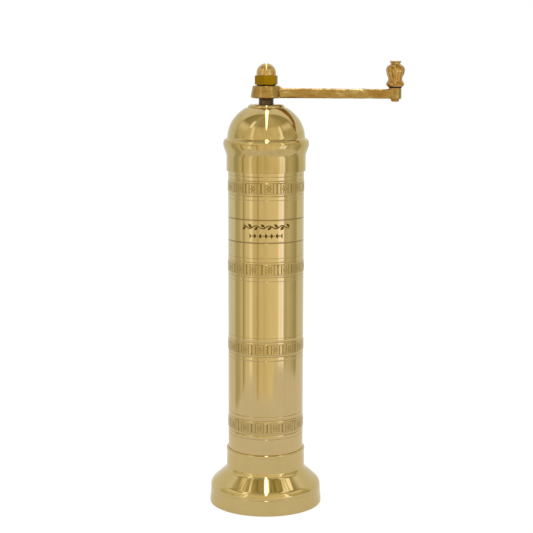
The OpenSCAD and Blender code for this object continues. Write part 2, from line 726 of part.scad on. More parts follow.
module knob_washer() {
    color(dark_steel) translate([crank_r, 0, 0])
        ring(boss_d / 2 + 0.2, pin_r + press_gap, knob_washer_z + press_gap, knob_washer_t - press_gap);
}

module nut_washer() {
    color(dark_steel)
        ring(nut_w / 2 - 0.5, stud_d / 2 + 0.15, hub_top + press_gap, washer_t - 2 * press_gap);
}

// A hexagon with turned corners under a domed cap, bored blind from below.
module acorn_nut() {
    corner_r = nut_w / 2 / cos(30);
    color(nut_brass) difference() {
        union() {
            intersection() {
                hexagon(nut_w, nut_z, nut_hex_h, nut_turn);
                rotate_extrude() polygon([
                    [0, nut_z], [corner_r - 0.45, nut_z], [corner_r, nut_z + 0.3],
                    [corner_r, nut_z + nut_hex_h - 0.45], [corner_r - 0.8, nut_z + nut_hex_h],
                    [0, nut_z + nut_hex_h]]);
            }
            rotate_extrude() polygon(concat(
                [[0, nut_z + nut_hex_h - over], [nut_dome_d / 2, nut_z + nut_hex_h - over]],
                arc([0, nut_round_z], nut_dome_d / 2, nut_dome_d / 2, 0, 90, 16)));
        }
        bore(stud_d / 2 + 0.1, nut_z - over, nut_bore_top);
    }
}

mill_tube();
foot();
dome_cap();
cap_bush();
cap_bush_nut();
upper_bridge();
bridge_rivets();
guide_bush();
burr_carrier();
burr_ring();
lower_bridge();
bridge_screws();
lock_nut();
adjusting_screw();
thrust_ball();
spindle();
spindle_spring();
spring_seat();
seat_clip();
burr_cone();
drive_pin();
crank_arm();
knob_pin();
knob_washer();
crank_knob();
nut_washer();
acorn_nut();
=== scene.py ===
"""The looks of a polished brass crank mill, built piece by piece around its fixed frame.

Sizes inside the outlines are in millimetres; meshes are in metres, in the frame's own axes:
+Z up the mill's axis, +X towards the crank's knob, and the front faces -Y.
"""

import math

import bmesh
import bpy
import numpy as np
from bpy.props import FloatProperty, FloatVectorProperty, IntProperty, PointerProperty
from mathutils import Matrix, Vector, noise


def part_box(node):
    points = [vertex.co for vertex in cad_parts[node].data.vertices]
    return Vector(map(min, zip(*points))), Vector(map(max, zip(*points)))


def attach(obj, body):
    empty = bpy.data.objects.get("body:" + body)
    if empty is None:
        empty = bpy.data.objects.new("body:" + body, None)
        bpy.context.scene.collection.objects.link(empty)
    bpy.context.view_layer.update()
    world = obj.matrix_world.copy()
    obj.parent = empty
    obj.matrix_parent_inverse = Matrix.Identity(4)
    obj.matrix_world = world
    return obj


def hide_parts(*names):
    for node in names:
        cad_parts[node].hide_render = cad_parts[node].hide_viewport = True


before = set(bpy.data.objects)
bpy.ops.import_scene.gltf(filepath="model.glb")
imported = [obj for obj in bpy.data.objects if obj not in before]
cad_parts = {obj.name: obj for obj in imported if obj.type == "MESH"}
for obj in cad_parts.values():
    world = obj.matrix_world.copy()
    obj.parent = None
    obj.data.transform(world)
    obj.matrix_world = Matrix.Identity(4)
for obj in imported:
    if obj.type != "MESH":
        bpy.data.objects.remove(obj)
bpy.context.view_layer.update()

bl_info = {
    "name": "Brass Crank Mill",
    "version": (1, 0, 0),
    "blender": (4, 5, 0),
    "location": "View3D > Sidebar > Crank Mill",
    "description": "Builds the visible pieces, finishes and stage of a brass crank mill",
    "category": "Object",
}

MM = 0.001
SHARP_ANGLE = math.radians(34)
ON_AXIS = 1e-6       # a radius in millimetres that counts as none
WELD = 2e-6          # points closer than this many metres become one


def span(node, axis):
    """The lowest and highest value of a CAD node along an axis, in millimetres."""
    low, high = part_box(node)
    return low[axis] / MM, high[axis] / MM


def outer_radius(node):
    return max(span(node, 1)[1], -span(node, 1)[0])


TUBE_LOW, TUBE_TOP = span("mill_tube", 2)
FOOT_TOP = span("foot", 2)[1]
CAP_LOW, CAP_TOP = span("dome_cap", 2)
COLLAR_TOP = span("cap_bush", 2)[1]
CRANK_LOW, CRANK_HIGH = span("crank_arm", 2)
NUT_LOW, NUT_TOP = span("acorn_nut", 2)
KNOB_LOW, KNOB_TOP = span("crank_knob", 2)
RIM_R = outer_radius("foot")
BEAD_R = outer_radius("dome_cap")
KNOB_R = outer_radius("crank_knob")
KNOB_X = (span("crank_knob", 0)[0] + span("crank_knob", 0)[1]) / 2
TUBE_R = 19.0
TUBE_WALL = 1.0


# ---------------------------------------------------------------- sizes and colours


class MillSizes(bpy.types.PropertyGroup):
    """The sizes of the mill's decoration and surface."""

    segments: IntProperty(
        name="Segments", description="Sides of every turned piece", default=256, min=64, max=512
    )
    band_count: IntProperty(
        name="Bands", description="Rolled bands on the tube", default=4, min=1, max=4
    )
    band_pitch: FloatProperty(
        name="Band Pitch", description="Distance between two bands, mm", default=40.1, min=30, max=50
    )
    band_first: FloatProperty(
        name="First Band", description="Height of the lowest band, mm", default=42.5, min=40, max=50
    )
    band_repeats: IntProperty(
        name="Repeats", description="Repeats of the pattern around a band", default=15, min=6, max=24
    )
    band_rise: FloatProperty(
        name="Band Rise", description="How far a band stands proud, mm", default=0.2, min=0, max=0.4
    )
    engraving: FloatProperty(
        name="Engraving Depth", description="Depth of rolled and cut ornament, mm", default=0.14,
        min=0, max=0.3,
    )
    cast_grain: FloatProperty(
        name="Cast Grain", description="Unevenness of the cast pieces, mm", default=0.1, min=0, max=0.3
    )


def tone(name, description, default):
    """A colour setting."""
    return FloatVectorProperty(
        name=name, description=description, subtype="COLOR", default=default, min=0, max=1
    )


class MillColours(bpy.types.PropertyGroup):
    """The colours of the mill's finishes."""

    polished: tone("Polished Brass", "Colour of the drawn tube", (0.62, 0.475, 0.235))
    spun: tone("Spun Brass", "Colour of the foot and the cap", (0.61, 0.465, 0.21))
    cast: tone("Cast Brass", "Colour of the crank", (0.43, 0.275, 0.09))
    knob: tone("Knob Brass", "Colour of the knob and its pin", (0.50, 0.29, 0.085))
    nut: tone("Nut Brass", "Colour of the cap nut's dome and the turned pieces", (0.58, 0.385, 0.155))
    # Painted shade: the cap nut is one brass. Its hexagon's darker, deeper tone stands in for the darker
    # room its flats reflect.
    flats: tone("Nut Flats", "Colour of the cap nut's hexagon", (0.32, 0.18, 0.005))
    patina: tone("Patina", "Colour of the tarnish in grooves", (0.25, 0.155, 0.02))
    ink: tone("Deep Patina", "Colour of the tarnish in the cut ornament", (0.12, 0.065, 0.006))
    steel: tone("Steel", "Colour of the inner steel pieces", (0.42, 0.42, 0.41))
    dark_steel: tone("Dark Steel", "Colour of the spindle", (0.15, 0.105, 0.06))
    # Near-black: the washers make the thin dark lines under the knob and under the nut.
    black: tone("Blackened Steel", "Colour of the washers", (0.03, 0.028, 0.025))


class StageSettings(bpy.types.PropertyGroup):
    """The stage's camera and light."""

    camera_distance: FloatProperty(
        name="Camera Distance", description="Camera in front of the axis, m", default=0.7044,
        min=0.3, max=3,
    )
    camera_height: FloatProperty(
        name="Camera Height", description="Camera above the floor, m", default=0.2309, min=0, max=1
    )
    camera_pitch: FloatProperty(
        name="Camera Pitch", description="Downward tilt", subtype="ANGLE",
        default=math.radians(8.81), min=-1, max=1,
    )
    white: FloatProperty(
        name="White", description="Brightness of the surround", default=1.0, min=0, max=3
    )


# ---------------------------------------------------------------- meshes


def point_values(mesh, name, values):
    """Stores a number on each point, which the finishes read."""
    made = mesh.attributes.new(name, "FLOAT", "POINT")
    made.data.foreach_set("value", np.asarray(values, np.float32))


def add_object(name, data):
    made = bpy.data.objects.new(name, data)
    bpy.context.scene.collection.objects.link(made)
    return made


def solid(name, points, faces, engraving=None):
    """A closed mesh object from points in millimetres, doubles merged and faces outward."""
    mesh = bpy.data.meshes.new(name)
    mesh.from_pydata((np.asarray(points, float) * MM).tolist(), [], faces)
    if engraving is not None:
        point_values(mesh, "engraving", engraving)
    piece = add_object(name, mesh)
    work = bmesh.new()
    work.from_mesh(mesh)
    bmesh.ops.remove_doubles(work, verts=work.verts, dist=1e-6)
    loose = [edge for edge in work.edges if not edge.link_faces]
    bmesh.ops.delete(work, geom=loose, context="EDGES")
    bmesh.ops.recalc_face_normals(work, faces=work.faces)
    work.to_mesh(mesh)
    work.free()
    shaded(mesh)
    return piece


def shaded(mesh):
    mesh.polygons.foreach_set("use_smooth", [True] * len(mesh.polygons))
    mesh.set_sharp_from_angle(angle=SHARP_ANGLE)
    mesh.update()


def wound(rows, columns, closed):
    """The quads of a sheet that closes around its columns, and around its rows if closed."""
    last = rows if closed else rows - 1
    i = np.repeat(np.arange(last), columns)
    j = np.tile(np.arange(columns), last)
    after_i = (i + 1) % rows
    after_j = (j + 1) % columns
    quads = [i * columns + j, i * columns + after_j, after_i * columns + after_j, after_i * columns + j]
    return np.stack(quads, 1).tolist()


def ring_points(radius, angles, levels, x=0.0):
    """The points of rings about an upright line at x, one level for each ring."""
    shape = (len(levels), len(angles))
    radius = np.broadcast_to(radius, shape)
    levels = np.broadcast_to(np.reshape(levels, (-1, 1)), shape)
    return np.stack([x + radius * np.cos(angles), radius * np.sin(angles), levels], 2).reshape(-1, 3)


def turned(name, outline, segments, x=0.0):
    """A turned solid: an outline of (r, z) spun about the upright line at x."""
    outline = np.asarray(held([tuple(point) for point in outline]), float)
    angles = np.linspace(0, 2 * math.pi, segments, endpoint=False)
    points = ring_points(outline[:, :1], angles, outline[:, 1], x)
    on_axis = outline[0, 0] < ON_AXIS and outline[-1, 0] < ON_AXIS
    return solid(name, points, wound(len(outline), segments, not on_axis))


def eased(corners, steps=4):
    """An outline whose corners (r, z, cut) are rounded off over the length cut."""
    points = []
    for i, (r, z, cut) in enumerate(corners):
        here = np.array((r, z))
        if cut == 0:
            points.append((r, z))
            continue
        before = np.array(corners[i - 1][:2]) - here
        after = np.array(corners[(i + 1) % len(corners)][:2]) - here
        start = here + before * min(cut / np.linalg.norm(before), 0.49)
        end = here + after * min(cut / np.linalg.norm(after), 0.49)
        for t in np.linspace(0, 1, steps + 1):
            points.append(tuple((1 - t) ** 2 * start + 2 * t * (1 - t) * here + t * t * end))
    return points


def held(outline, reach=0.06):
    """The outline with points close to both ends of each long side, so that it stays straight."""
    points = []
    for here, after in zip(outline, outline[1:] + outline[:1]):
        points.append(here)
        side = np.subtract(after, here)
        length = math.hypot(*side)
        if length > 8 * reach:
            points.append(tuple(np.add(here, side * reach / length)))
            points.append(tuple(np.subtract(after, side * reach / length)))
    return points


def arc(centre, rx, rz, start, end, steps):
    """Points (r, z) along an ellipse, angles in degrees."""
    turn = np.radians(np.linspace(start, end, steps + 1))
    return [(centre[0] + rx * math.cos(t), centre[1] + rz * math.sin(t)) for t in turn]


def smooth(low, high, x):
    t = np.clip((x - low) / (high - low), 0, 1)
    return t * t * (3 - 2 * t)


def stroke(distance, width, soft=0.07):
    """1 inside a stroke of that width, falling to 0 over a soft edge."""
    return 1 - smooth(width / 2 - soft, width / 2 + soft, distance)


def add_piece(piece, body, material, nodes=()):
    """Gives a finished piece its material, ties it to its body and hides the CAD nodes it stands for."""
    piece.data.materials.clear()
    piece.data.materials.append(material)
    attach(piece, body)
    if nodes:
        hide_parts(*nodes)


def refined_copy(name, node, body, material, bevel=0.08):
    """A copy of a CAD node with merged points, softened edges and smooth rounds."""
    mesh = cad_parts[node].data.copy()
    mesh.name = name
    mesh.materials.clear()
    if "custom_normal" in mesh.attributes:
        mesh.attributes.remove(mesh.attributes["custom_normal"])
    work = bmesh.new()
    work.from_mesh(mesh)
    bmesh.ops.remove_doubles(work, verts=work.verts, dist=WELD)
    bmesh.ops.dissolve_limit(
        work, angle_limit=math.radians(0.5), verts=work.verts, edges=work.edges
    )
    work.to_mesh(mesh)
    work.free()
    piece = add_object(name, mesh)
    if bevel:
        edge = piece.modifiers.new("softened_edges", "BEVEL")
        edge.width = bevel * MM
        edge.segments = 2
        edge.limit_method = "ANGLE"
        edge.angle_limit = math.radians(40)
        edge.harden_normals = False
        as_mesh(piece)
    shaded(piece.data)
    add_piece(piece, body, material, [node])


def as_mesh(piece):
    """Replaces a piece's mesh by its evaluated one and removes its modifiers."""
    bpy.context.view_layer.update()
    evaluated = piece.evaluated_get(bpy.context.evaluated_depsgraph_get())
    mesh = bpy.data.meshes.new_from_object(evaluated)
    piece.modifiers.clear()
    old = piece.data
    piece.data = mesh
    mesh.name = piece.name
    bpy.data.meshes.remove(old)


# ---------------------------------------------------------------- geometry nodes


def add_node(tree, kind, **settings):
    made = tree.nodes.new(kind)
    for key, value in settings.items():
        setattr(made, key, value)
    return made


def copies_around_axis():
    """A node tree that repeats its mesh around the Z axis and joins the copies."""
    name = "copies_around_axis"
    if name in bpy.data.node_groups:
        return bpy.data.node_groups[name]
    tree = bpy.data.node_groups.new(name, "GeometryNodeTree")
    for label, kind in (
        ("Geometry", "Geometry"), ("Count", "Int"), ("Phase", "Float"), ("Weld", "Float"),
        ("Material", "Material"),
    ):
        tree.interface.new_socket(label, in_out="INPUT", socket_type=f"NodeSocket{kind}")
    tree.interface.new_socket("Geometry", in_out="OUTPUT", socket_type="NodeSocketGeometry")
    given = add_node(tree, "NodeGroupInput")
    result = add_node(tree, "NodeGroupOutput")
    points = add_node(tree, "GeometryNodePoints")
    index = add_node(tree, "GeometryNodeInputIndex")
    share = add_node(tree, "ShaderNodeMath", operation="DIVIDE")
    turn = add_node(tree, "ShaderNodeMath", operation="MULTIPLY_ADD")
    turn.inputs[1].default_value = 2 * math.pi
    euler = add_node(tree, "ShaderNodeCombineXYZ")
    rotation = add_node(tree, "FunctionNodeEulerToRotation")
    place = add_node(tree, "GeometryNodeInstanceOnPoints")
    realize = add_node(tree, "GeometryNodeRealizeInstances")
    weld = add_node(tree, "GeometryNodeMergeByDistance")
    paint = add_node(tree, "GeometryNodeSetMaterial")
    for source, target in (
        (given.outputs["Count"], points.inputs["Count"]),
        (index.outputs[0], share.inputs[0]),
        (given.outputs["Count"], share.inputs[1]),
        (share.outputs[0], turn.inputs[0]),
        (given.outputs["Phase"], turn.inputs[2]),
        (turn.outputs[0], euler.inputs["Z"]),
        (euler.outputs[0], rotation.inputs[0]),
        (points.outputs[0], place.inputs["Points"]),
        (given.outputs["Geometry"], place.inputs["Instance"]),
        (rotation.outputs[0], place.inputs["Rotation"]),
        (place.outputs[0], realize.inputs["Geometry"]),
        (realize.outputs[0], weld.inputs["Geometry"]),
        (given.outputs["Weld"], weld.inputs["Distance"]),
        (weld.outputs[0], paint.inputs["Geometry"]),
        (given.outputs["Material"], paint.inputs["Material"]),
        (paint.outputs[0], result.inputs[0]),
    ):
        tree.links.new(source, target)
    return tree


def repeated(tile, count, phase, material):
    """Repeats the tile's mesh count times around the axis, as a plain mesh."""
    tree = copies_around_axis()
    modifier = tile.modifiers.new("copies", "NODES")
    modifier.node_group = tree
    values = {"Count": count, "Phase": phase, "Weld": WELD, "Material": material}
    for item in tree.interface.items_tree:
        if item.name in values:
            modifier[item.identifier] = values[item.name]
    as_mesh(tile)
    shaded(tile.data)


# ---------------------------------------------------------------- finishes


def finish_group(name, values):
    """An empty shader group for a finish: two colours and the named values in, three out."""
    group = bpy.data.node_groups.new(name, "ShaderNodeTree")
    for label in ("Colour", "Tarnish Colour"):
        group.interface.new_socket(label, in_out="INPUT", socket_type="NodeSocketColor")
    for label in values:
        group.interface.new_socket(label, in_out="INPUT", socket_type="NodeSocketFloat")
    group.interface.new_socket("Colour", in_out="OUTPUT", socket_type="NodeSocketColor")
    for label in ("Roughness", "Height"):
        group.interface.new_socket(label, in_out="OUTPUT", socket_type="NodeSocketFloat")
    return group, add_node(group, "NodeGroupInput").outputs, add_node(group, "NodeGroupOutput").inputs


def set_or_link(tree, socket, given):
    """Puts a number or colour on a socket, or links another socket to it."""
    if isinstance(given, bpy.types.NodeSocket):
        tree.links.new(given, socket)
    else:
        socket.default_value = given


def stretched_noise(group, scale, detail=3.0, roughness=0.55):
    """Noise on the piece's own coordinates, scaled per axis, in cycles a metre."""
    place = add_node(group, "ShaderNodeTexCoord")
    mapping = add_node(group, "ShaderNodeMapping")
    mapping.inputs["Scale"].default_value = scale
    made = add_node(group, "ShaderNodeTexNoise")
    made.inputs["Scale"].default_value = 1.0
    made.inputs["Detail"].default_value = detail
    made.inputs["Roughness"].default_value = roughness
    group.links.new(place.outputs["Object"], mapping.inputs["Vector"])
    group.links.new(mapping.outputs[0], made.inputs["Vector"])
    return made.outputs["Fac"]


def ranged(group, value, low, high, to_low, to_high, smoothed=False):
    made = add_node(group, "ShaderNodeMapRange")
    if smoothed:
        made.interpolation_type = "SMOOTHSTEP"
    for label, given in zip(("From Min", "From Max", "To Min", "To Max"), (low, high, to_low, to_high)):
        set_or_link(group, made.inputs[label], given)
    group.links.new(value, made.inputs["Value"])
    return made.outputs["Result"]


def rising(group, value, low, high):
    """0 below low, 1 above high, smooth between."""
    return ranged(group, value, low, high, 0.0, 1.0, True)


def calculated(group, operation, *values):
    made = add_node(group, "ShaderNodeMath", operation=operation)
    for socket, given in zip(made.inputs, values):
        set_or_link(group, socket, given)
    return made.outputs[0]


def times(group, first, second):
    return calculated(group, "MULTIPLY", first, second)


def mixed(group, factor, first, second, blend="MIX"):
    made = add_node(group, "ShaderNodeMix", data_type="RGBA", blend_type=blend)
    for socket, given in zip((made.inputs[0], made.inputs[6], made.inputs[7]), (factor, first, second)):
        set_or_link(group, socket, given)
    return made.outputs[2]


def turned_finish():
    """Polished or machined metal: fine lines around the axis, handling marks, tarnished grooves."""
    name = "turned_finish"
    if name in bpy.data.node_groups:
        return bpy.data.node_groups[name]
    group, given, result = finish_group(
        name, ("Tarnish", "Blotches", "Roughness", "Handling", "Lines", "Waviness", "Streaks")
    )
    tarnish = given["Tarnish Colour"]
    cut = add_node(group, "ShaderNodeAttribute", attribute_name="engraving").outputs["Fac"]
    cloud = stretched_noise(group, (70, 70, 45), 4)
    smear = stretched_noise(group, (160, 160, 60), 5, 0.6)
    lines = stretched_noise(group, (45, 45, 8200), 2)
    wide_lines = stretched_noise(group, (20, 20, 1500), 2)
    waves = stretched_noise(group, (110, 110, 28), 1)
    drawn = stretched_noise(group, (1300, 1300, 30), 3, 0.6)
    tint = ranged(group, cloud, 0.35, 0.7, 0.0, given["Blotches"])
    toned = mixed(group, tint, given["Colour"], tarnish)
    streak = ranged(group, drawn, 0.4, 0.72, 0.0, given["Streaks"])
    toned = mixed(group, streak, toned, tarnish)
    dark = times(group, cut, given["Tarnish"])
    marks = ranged(group, smear, 0.45, 0.75, 0.0, given["Handling"])
    rough = calculated(group, "ADD", given["Roughness"], marks)
    height = times(group, lines, given["Lines"])
    wide = times(group, given["Lines"], 0.8)
    height = calculated(group, "MULTIPLY_ADD", wide_lines, wide, height)
    height = calculated(group, "MULTIPLY_ADD", waves, given["Waviness"], height)
    group.links.new(mixed(group, dark, toned, tarnish), result["Colour"])
    group.links.new(calculated(group, "MULTIPLY_ADD", dark, 0.35, rough), result["Roughness"])
    group.links.new(height, result["Height"])
    return group


def cast_finish():
    """Cast and brushed metal: pits and lumps, a brighter skin on the highs, patina and painted shade in
    the lows.
    """
    name = "cast_finish"
    if name in bpy.data.node_groups:
        return bpy.data.node_groups[name]
    group, given, result = finish_group(name, ("Lows", "Roughness", "Grain"))
    skin = add_node(group, "ShaderNodeAttribute", attribute_name="cast_skin").outputs["Fac"]
    lumps = stretched_noise(group, (260, 420, 520), 5, 0.6)
    pits = stretched_noise(group, (900, 1900, 2200), 3, 0.6)
    patches = stretched_noise(group, (90, 190, 300), 4, 0.6)
    # Patina and painted shade: the lows of the lumps darken towards the tarnish colour, as if shadowed.
    low = ranged(group, lumps, 0.55, 0.32, 0.0, given["Lows"], True)
    toned = mixed(group, low, given["Colour"], given["Tarnish Colour"])
    brown = ranged(group, patches, 0.47, 0.62, 0.0, 0.5, True)
    toned = mixed(group, brown, toned, (0.8, 0.6, 0.3, 1), "MULTIPLY")
    bright = times(group, ranged(group, patches, 0.45, 0.36, 0.0, 0.35, True), skin)
    toned = mixed(group, bright, toned, (0.8, 0.66, 0.38, 1))
    rough = ranged(group, patches, 0.35, 0.7, -0.06, 0.16)
    rough = calculated(group, "MULTIPLY_ADD", rough, skin, given["Roughness"])
    height = calculated(group, "ADD", lumps, times(group, pits, 0.35))
    height = times(group, times(group, height, skin), given["Grain"])
    group.links.new(toned, result["Colour"])
    group.links.new(rough, result["Roughness"])
    group.links.new(height, result["Height"])
    return group


# Each finish: its group, its colour and tarnish, the group's values in their order, the depth of
# its bump in millimetres, and how far its highlights are drawn out around the axis.
TURNED, CAST, QUARTER_TURN = turned_finish, cast_finish, 0.25
FINISHES = {
    "polished_brass": (TURNED, "polished", "patina", (0.9, 0.06, 0.065, 0.05, 0.3, 1, 0.05), 0.004, 0.6),
    "foot_brass": (TURNED, "spun", "patina", (0.9, 0.06, 0.065, 0.05, 0.3, 1.2, 0.03), 0.004, 0.6),
    "cap_brass": (TURNED, "spun", "patina", (0.9, 0.28, 0.065, 0.05, 0.3, 1.2, 0.22), 0.004, 0.6),
    "engraved_brass": (TURNED, "polished", "ink", (1, 0.02, 0.065, 0.05, 0.3, 1, 0), 0.004, 0.6),
    "machined_brass": (TURNED, "nut", "patina", (0.8, 0.25, 0.2, 0.15, 1, 1, 0), 0.01, 0),
    # The nut's hexagon takes the painted-shade flats colour in full.
    "nut_brass": (TURNED, "nut", "flats", (1, 0.1, 0.16, 0.1, 0.6, 1, 0), 0.01, 0),
    "machined_steel": (TURNED, "steel", (0.1, 0.09, 0.08), (0.7, 0.3, 0.25, 0.2, 1, 0.5, 0), 0.01, 0),
    "dark_steel": (
        TURNED, "dark_steel", (0.03, 0.025, 0.02), (0.8, 0.6, 0.22, 0.15, 1, 0.5, 0.7), 0.01, 0
    ),
    "near_black_steel": (
        TURNED, "black", (0.01, 0.009, 0.008), (0.8, 0.6, 0.4, 0.2, 1, 0.5, 0), 0.01, 0
    ),
    "cast_brass": (CAST, "cast", "patina", (0.5, 0.24, 1), 0.06, 0),
    "knob_brass": (CAST, "knob", "patina", (0.6, 0.17, 0.5), 0.06, 0),
}


def colour(choice):
    """A colour of the settings by its name, or one given as numbers, with its alpha."""
    shade = getattr(bpy.context.scene.mill_colours, choice) if isinstance(choice, str) else choice
    return (*shade, 1.0)


def finish(name):
    """The metal of that name, its shader fed by its finish group."""
    label = f"{name}_finish"
    if label in bpy.data.materials:
        return bpy.data.materials[label]
    group, main, tarnish, values, bump, drawn_out = FINISHES[name]
    made = bpy.data.materials.new(label)
    made.use_nodes = True
    tree = made.node_tree
    shader = tree.nodes["Principled BSDF"]
    shader.inputs["Metallic"].default_value = 1.0
    surface = add_node(tree, "ShaderNodeGroup", node_tree=group())
    for socket, value in zip(surface.inputs, (colour(main), colour(tarnish), *values)):
        socket.default_value = value
    lift = add_node(tree, "ShaderNodeBump")
    lift.inputs["Distance"].default_value = bump * MM
    lift.inputs["Strength"].default_value = 1.0
    if drawn_out:
        tangent = add_node(tree, "ShaderNodeTangent", direction_type="RADIAL", axis="Z")
        shader.inputs["Anisotropic"].default_value = drawn_out
        shader.inputs["Anisotropic Rotation"].default_value = QUARTER_TURN
        tree.links.new(tangent.outputs[0], shader.inputs["Tangent"])
    tree.links.new(surface.outputs["Colour"], shader.inputs["Base Color"])
    tree.links.new(surface.outputs["Roughness"], shader.inputs["Roughness"])
    tree.links.new(surface.outputs["Height"], lift.inputs["Height"])
    tree.links.new(lift.outputs[0], shader.inputs["Normal"])
    return made


# ---------------------------------------------------------------- tube

BAND_HALF = 2.2      # half the height of the rolled pattern
LINE_NEAR = 3.7      # the inner of the two fine lines, from the band's middle
LINE_FAR = 5.8       # the outer one, where the band's ring ends
RING_SEAT = 0.3      # how deep the tube is turned down under a ring
PANEL_LOW = 135.8
PANEL_HIGH = 147.7
VINE_Z = 144.0
LOZENGE_Z = 139.6
BAND_TURNS = (14.4, 14.6, 6.1, 4.5)     # how far each band's pattern is turned, in degrees


def band_art(u, v):
    """The rolled pattern: a flower between two strokes, then a bar; u and v in mm, one repeat."""
    half = math.pi * TUBE_R / bpy.context.scene.mill_sizes.band_repeats
    inside = stroke(np.abs(v), 2 * BAND_HALF, 0.08)
    serif = 0.3 * smooth(BAND_HALF - 0.75, BAND_HALF - 0.35, np.abs(v))
    beads = 0.12 * np.cos(v * 2 * math.pi / 0.95)
    art = stroke(np.abs(np.abs(u) - half), 0.6 + serif, 0.1) * inside
    art = np.maximum(art, stroke(np.abs(np.abs(u) - half / 2 - 0.05), 0.42 + beads, 0.1) * inside)
    reach = np.hypot(u, v)
    petals = 0.95 + 0.16 * np.cos(6 * np.arctan2(v, u))
    art = np.maximum(art, stroke(np.abs(reach - petals), 0.38, 0.1))
    art = np.maximum(art, stroke(reach, 0.62, 0.1))
    for side in (-1, 1):
        for step in (-1, 1):
            dot = np.hypot(u - 0.72 * step, v - side * 1.62)
            art = np.maximum(art, stroke(dot, 0.56, 0.1))
    return np.maximum(art, 0.2 * inside)


def band_lines(t):
    """The fine turned lines on both sides of a band, at distance t from its middle."""
    near = stroke(np.abs(t - LINE_NEAR), 0.26, 0.12)
    return np.maximum(near, 0.8 * smooth(LINE_FAR - 0.2, LINE_FAR - 0.05, t))


def band_height(t):
    """How far the ring stands from the tube's radius at distance t from the band's middle."""
    rise = bpy.context.scene.mill_sizes.band_rise * (1 - smooth(BAND_HALF + 0.15, BAND_HALF + 0.6, t))
    return rise - 0.1 * band_lines(t)


def ring_sheet(name, heights, angles, radius, art, closed):
    """A ring of metal from its outer face radius[i, j]; open at its two ends unless closed."""
    inner = TUBE_R - RING_SEAT + 0.01
    rows = np.concatenate([radius, np.full((2, len(angles)), inner)])
    levels = np.concatenate([heights, [heights[-1], heights[0]]])
    art = np.concatenate([art, np.zeros((2, len(angles)))])
    faces = wound(len(levels), len(angles), True)
    if not closed:
        last = len(angles) - 1
        faces = [quad for quad in faces if quad[0] % len(angles) != last]
    return solid(name, ring_points(rows, angles, levels), faces, art.ravel())


def add_band(number, middle, phase):
    """One rolled band: a tile of the pattern repeated around the tube."""
    sizes = bpy.context.scene.mill_sizes
    half = math.pi / sizes.band_repeats
    angles = np.linspace(-half, half, 73)
    fine = np.linspace(-BAND_HALF - 0.7, BAND_HALF + 0.7, 54)
    line = LINE_NEAR + np.array([-0.3, -0.15, -0.05, 0.05, 0.15, 0.3])
    edge = LINE_FAR + np.array([-0.3, -0.16, -0.08, 0.0])
    outer = np.concatenate([line, edge])
    offsets = np.concatenate([-outer[::-1], fine, outer])
    u, v = np.meshgrid(angles * TUBE_R, offsets)
    art = band_art(u, v)
    radius = TUBE_R + band_height(np.abs(v)) - sizes.engraving * art
    step = stroke(np.abs(np.abs(v) - BAND_HALF - 0.38), 0.5, 0.15)
    art = np.maximum(art, np.maximum(0.75 * band_lines(np.abs(v)), 0.45 * step))
    tile = ring_sheet(f"rolled_band_{number}", middle + offsets, angles, radius, art, False)
    repeated(tile, sizes.band_repeats, phase, finish("polished_brass"))
    add_piece(tile, "mill_body", finish("polished_brass"))


def vine_art(u, v):
    """A running vine with leaves on both sides, within 12.2 mm each way of the middle."""
    length, sway = 6.6, 0.7
    leaf_length, leaf_width = 1.3, 0.68
    tilt = math.radians(38)
    phase = 2 * math.pi * u / length
    slope = sway * 2 * math.pi / length * np.cos(phase)
    art = stroke(np.abs(v - sway * np.sin(phase)) / np.sqrt(1 + slope**2), 0.5, 0.1)
    art = art * stroke(np.abs(u), 24.4, 0.2)
    for i in range(-4, 4):
        middle = (i + 0.5) * length / 2
        up = 1 if i % 2 == 0 else -1
        x, y = u - middle - 0.1, v * up + 0.62
        a = x * math.cos(tilt) + y * math.sin(tilt)
        b = -x * math.sin(tilt) + y * math.cos(tilt)
        leaf = np.hypot(a / leaf_length, b / (leaf_width * np.clip(1.15 - np.abs(a) / 1.6, 0.3, 1)))
        art = np.maximum(art, 1 - smooth(0.9, 1.15, leaf))
    return art


def lozenge_art(u, v):
    """A row of small lozenges and dots, within 8.4 mm each way of the middle."""
    pitch = 2.8
    local = (u + pitch / 2) % pitch - pitch / 2
    lozenge = np.abs(local) / 0.85 + np.abs(v) / 1.3
    art = 1 - smooth(0.9, 1.1, lozenge)
    between = np.abs(local) - pitch / 2
    art = np.maximum(art, stroke(np.hypot(between, v), 0.6, 0.1))
    return art * stroke(np.abs(u), 16.8, 0.1)


def add_panel():
    """The plain panel between the two deeper lines, with a cut ornament on its front."""
    sizes = bpy.context.scene.mill_sizes
    front, reach = -math.pi / 2, math.radians(50)
    fine = np.linspace(front - reach, front + reach, 300)
    coarse = np.linspace(front + reach, front - reach + 2 * math.pi, 92)[1:-1]
    angles = np.concatenate([fine, coarse])
    ends = np.array([0.0, 0.3, 0.42, 0.54, 0.66, 0.78, 0.9])
    middle = np.linspace(PANEL_LOW + 1.0, PANEL_HIGH - 1.0, 96)
    levels = np.concatenate([PANEL_LOW + ends, middle, PANEL_HIGH - ends[::-1]])
    around = (angles - front + math.pi) % (2 * math.pi) - math.pi
    u, v = np.meshgrid(around * TUBE_R, levels)
    art = np.maximum(vine_art(u, v - VINE_Z), lozenge_art(u, v - LOZENGE_Z))
    edge = np.minimum(v - PANEL_LOW, PANEL_HIGH - v)
    cut = 1 - smooth(0.4, 0.9, edge)
    radius = TUBE_R - 0.11 * cut - sizes.engraving * art * (1 - cut)
    art = np.maximum(art, 0.6 * cut)
    piece = ring_sheet("engraved_panel", levels, angles, radius, art, True)
    add_piece(piece, "mill_body", finish("engraved_brass"))


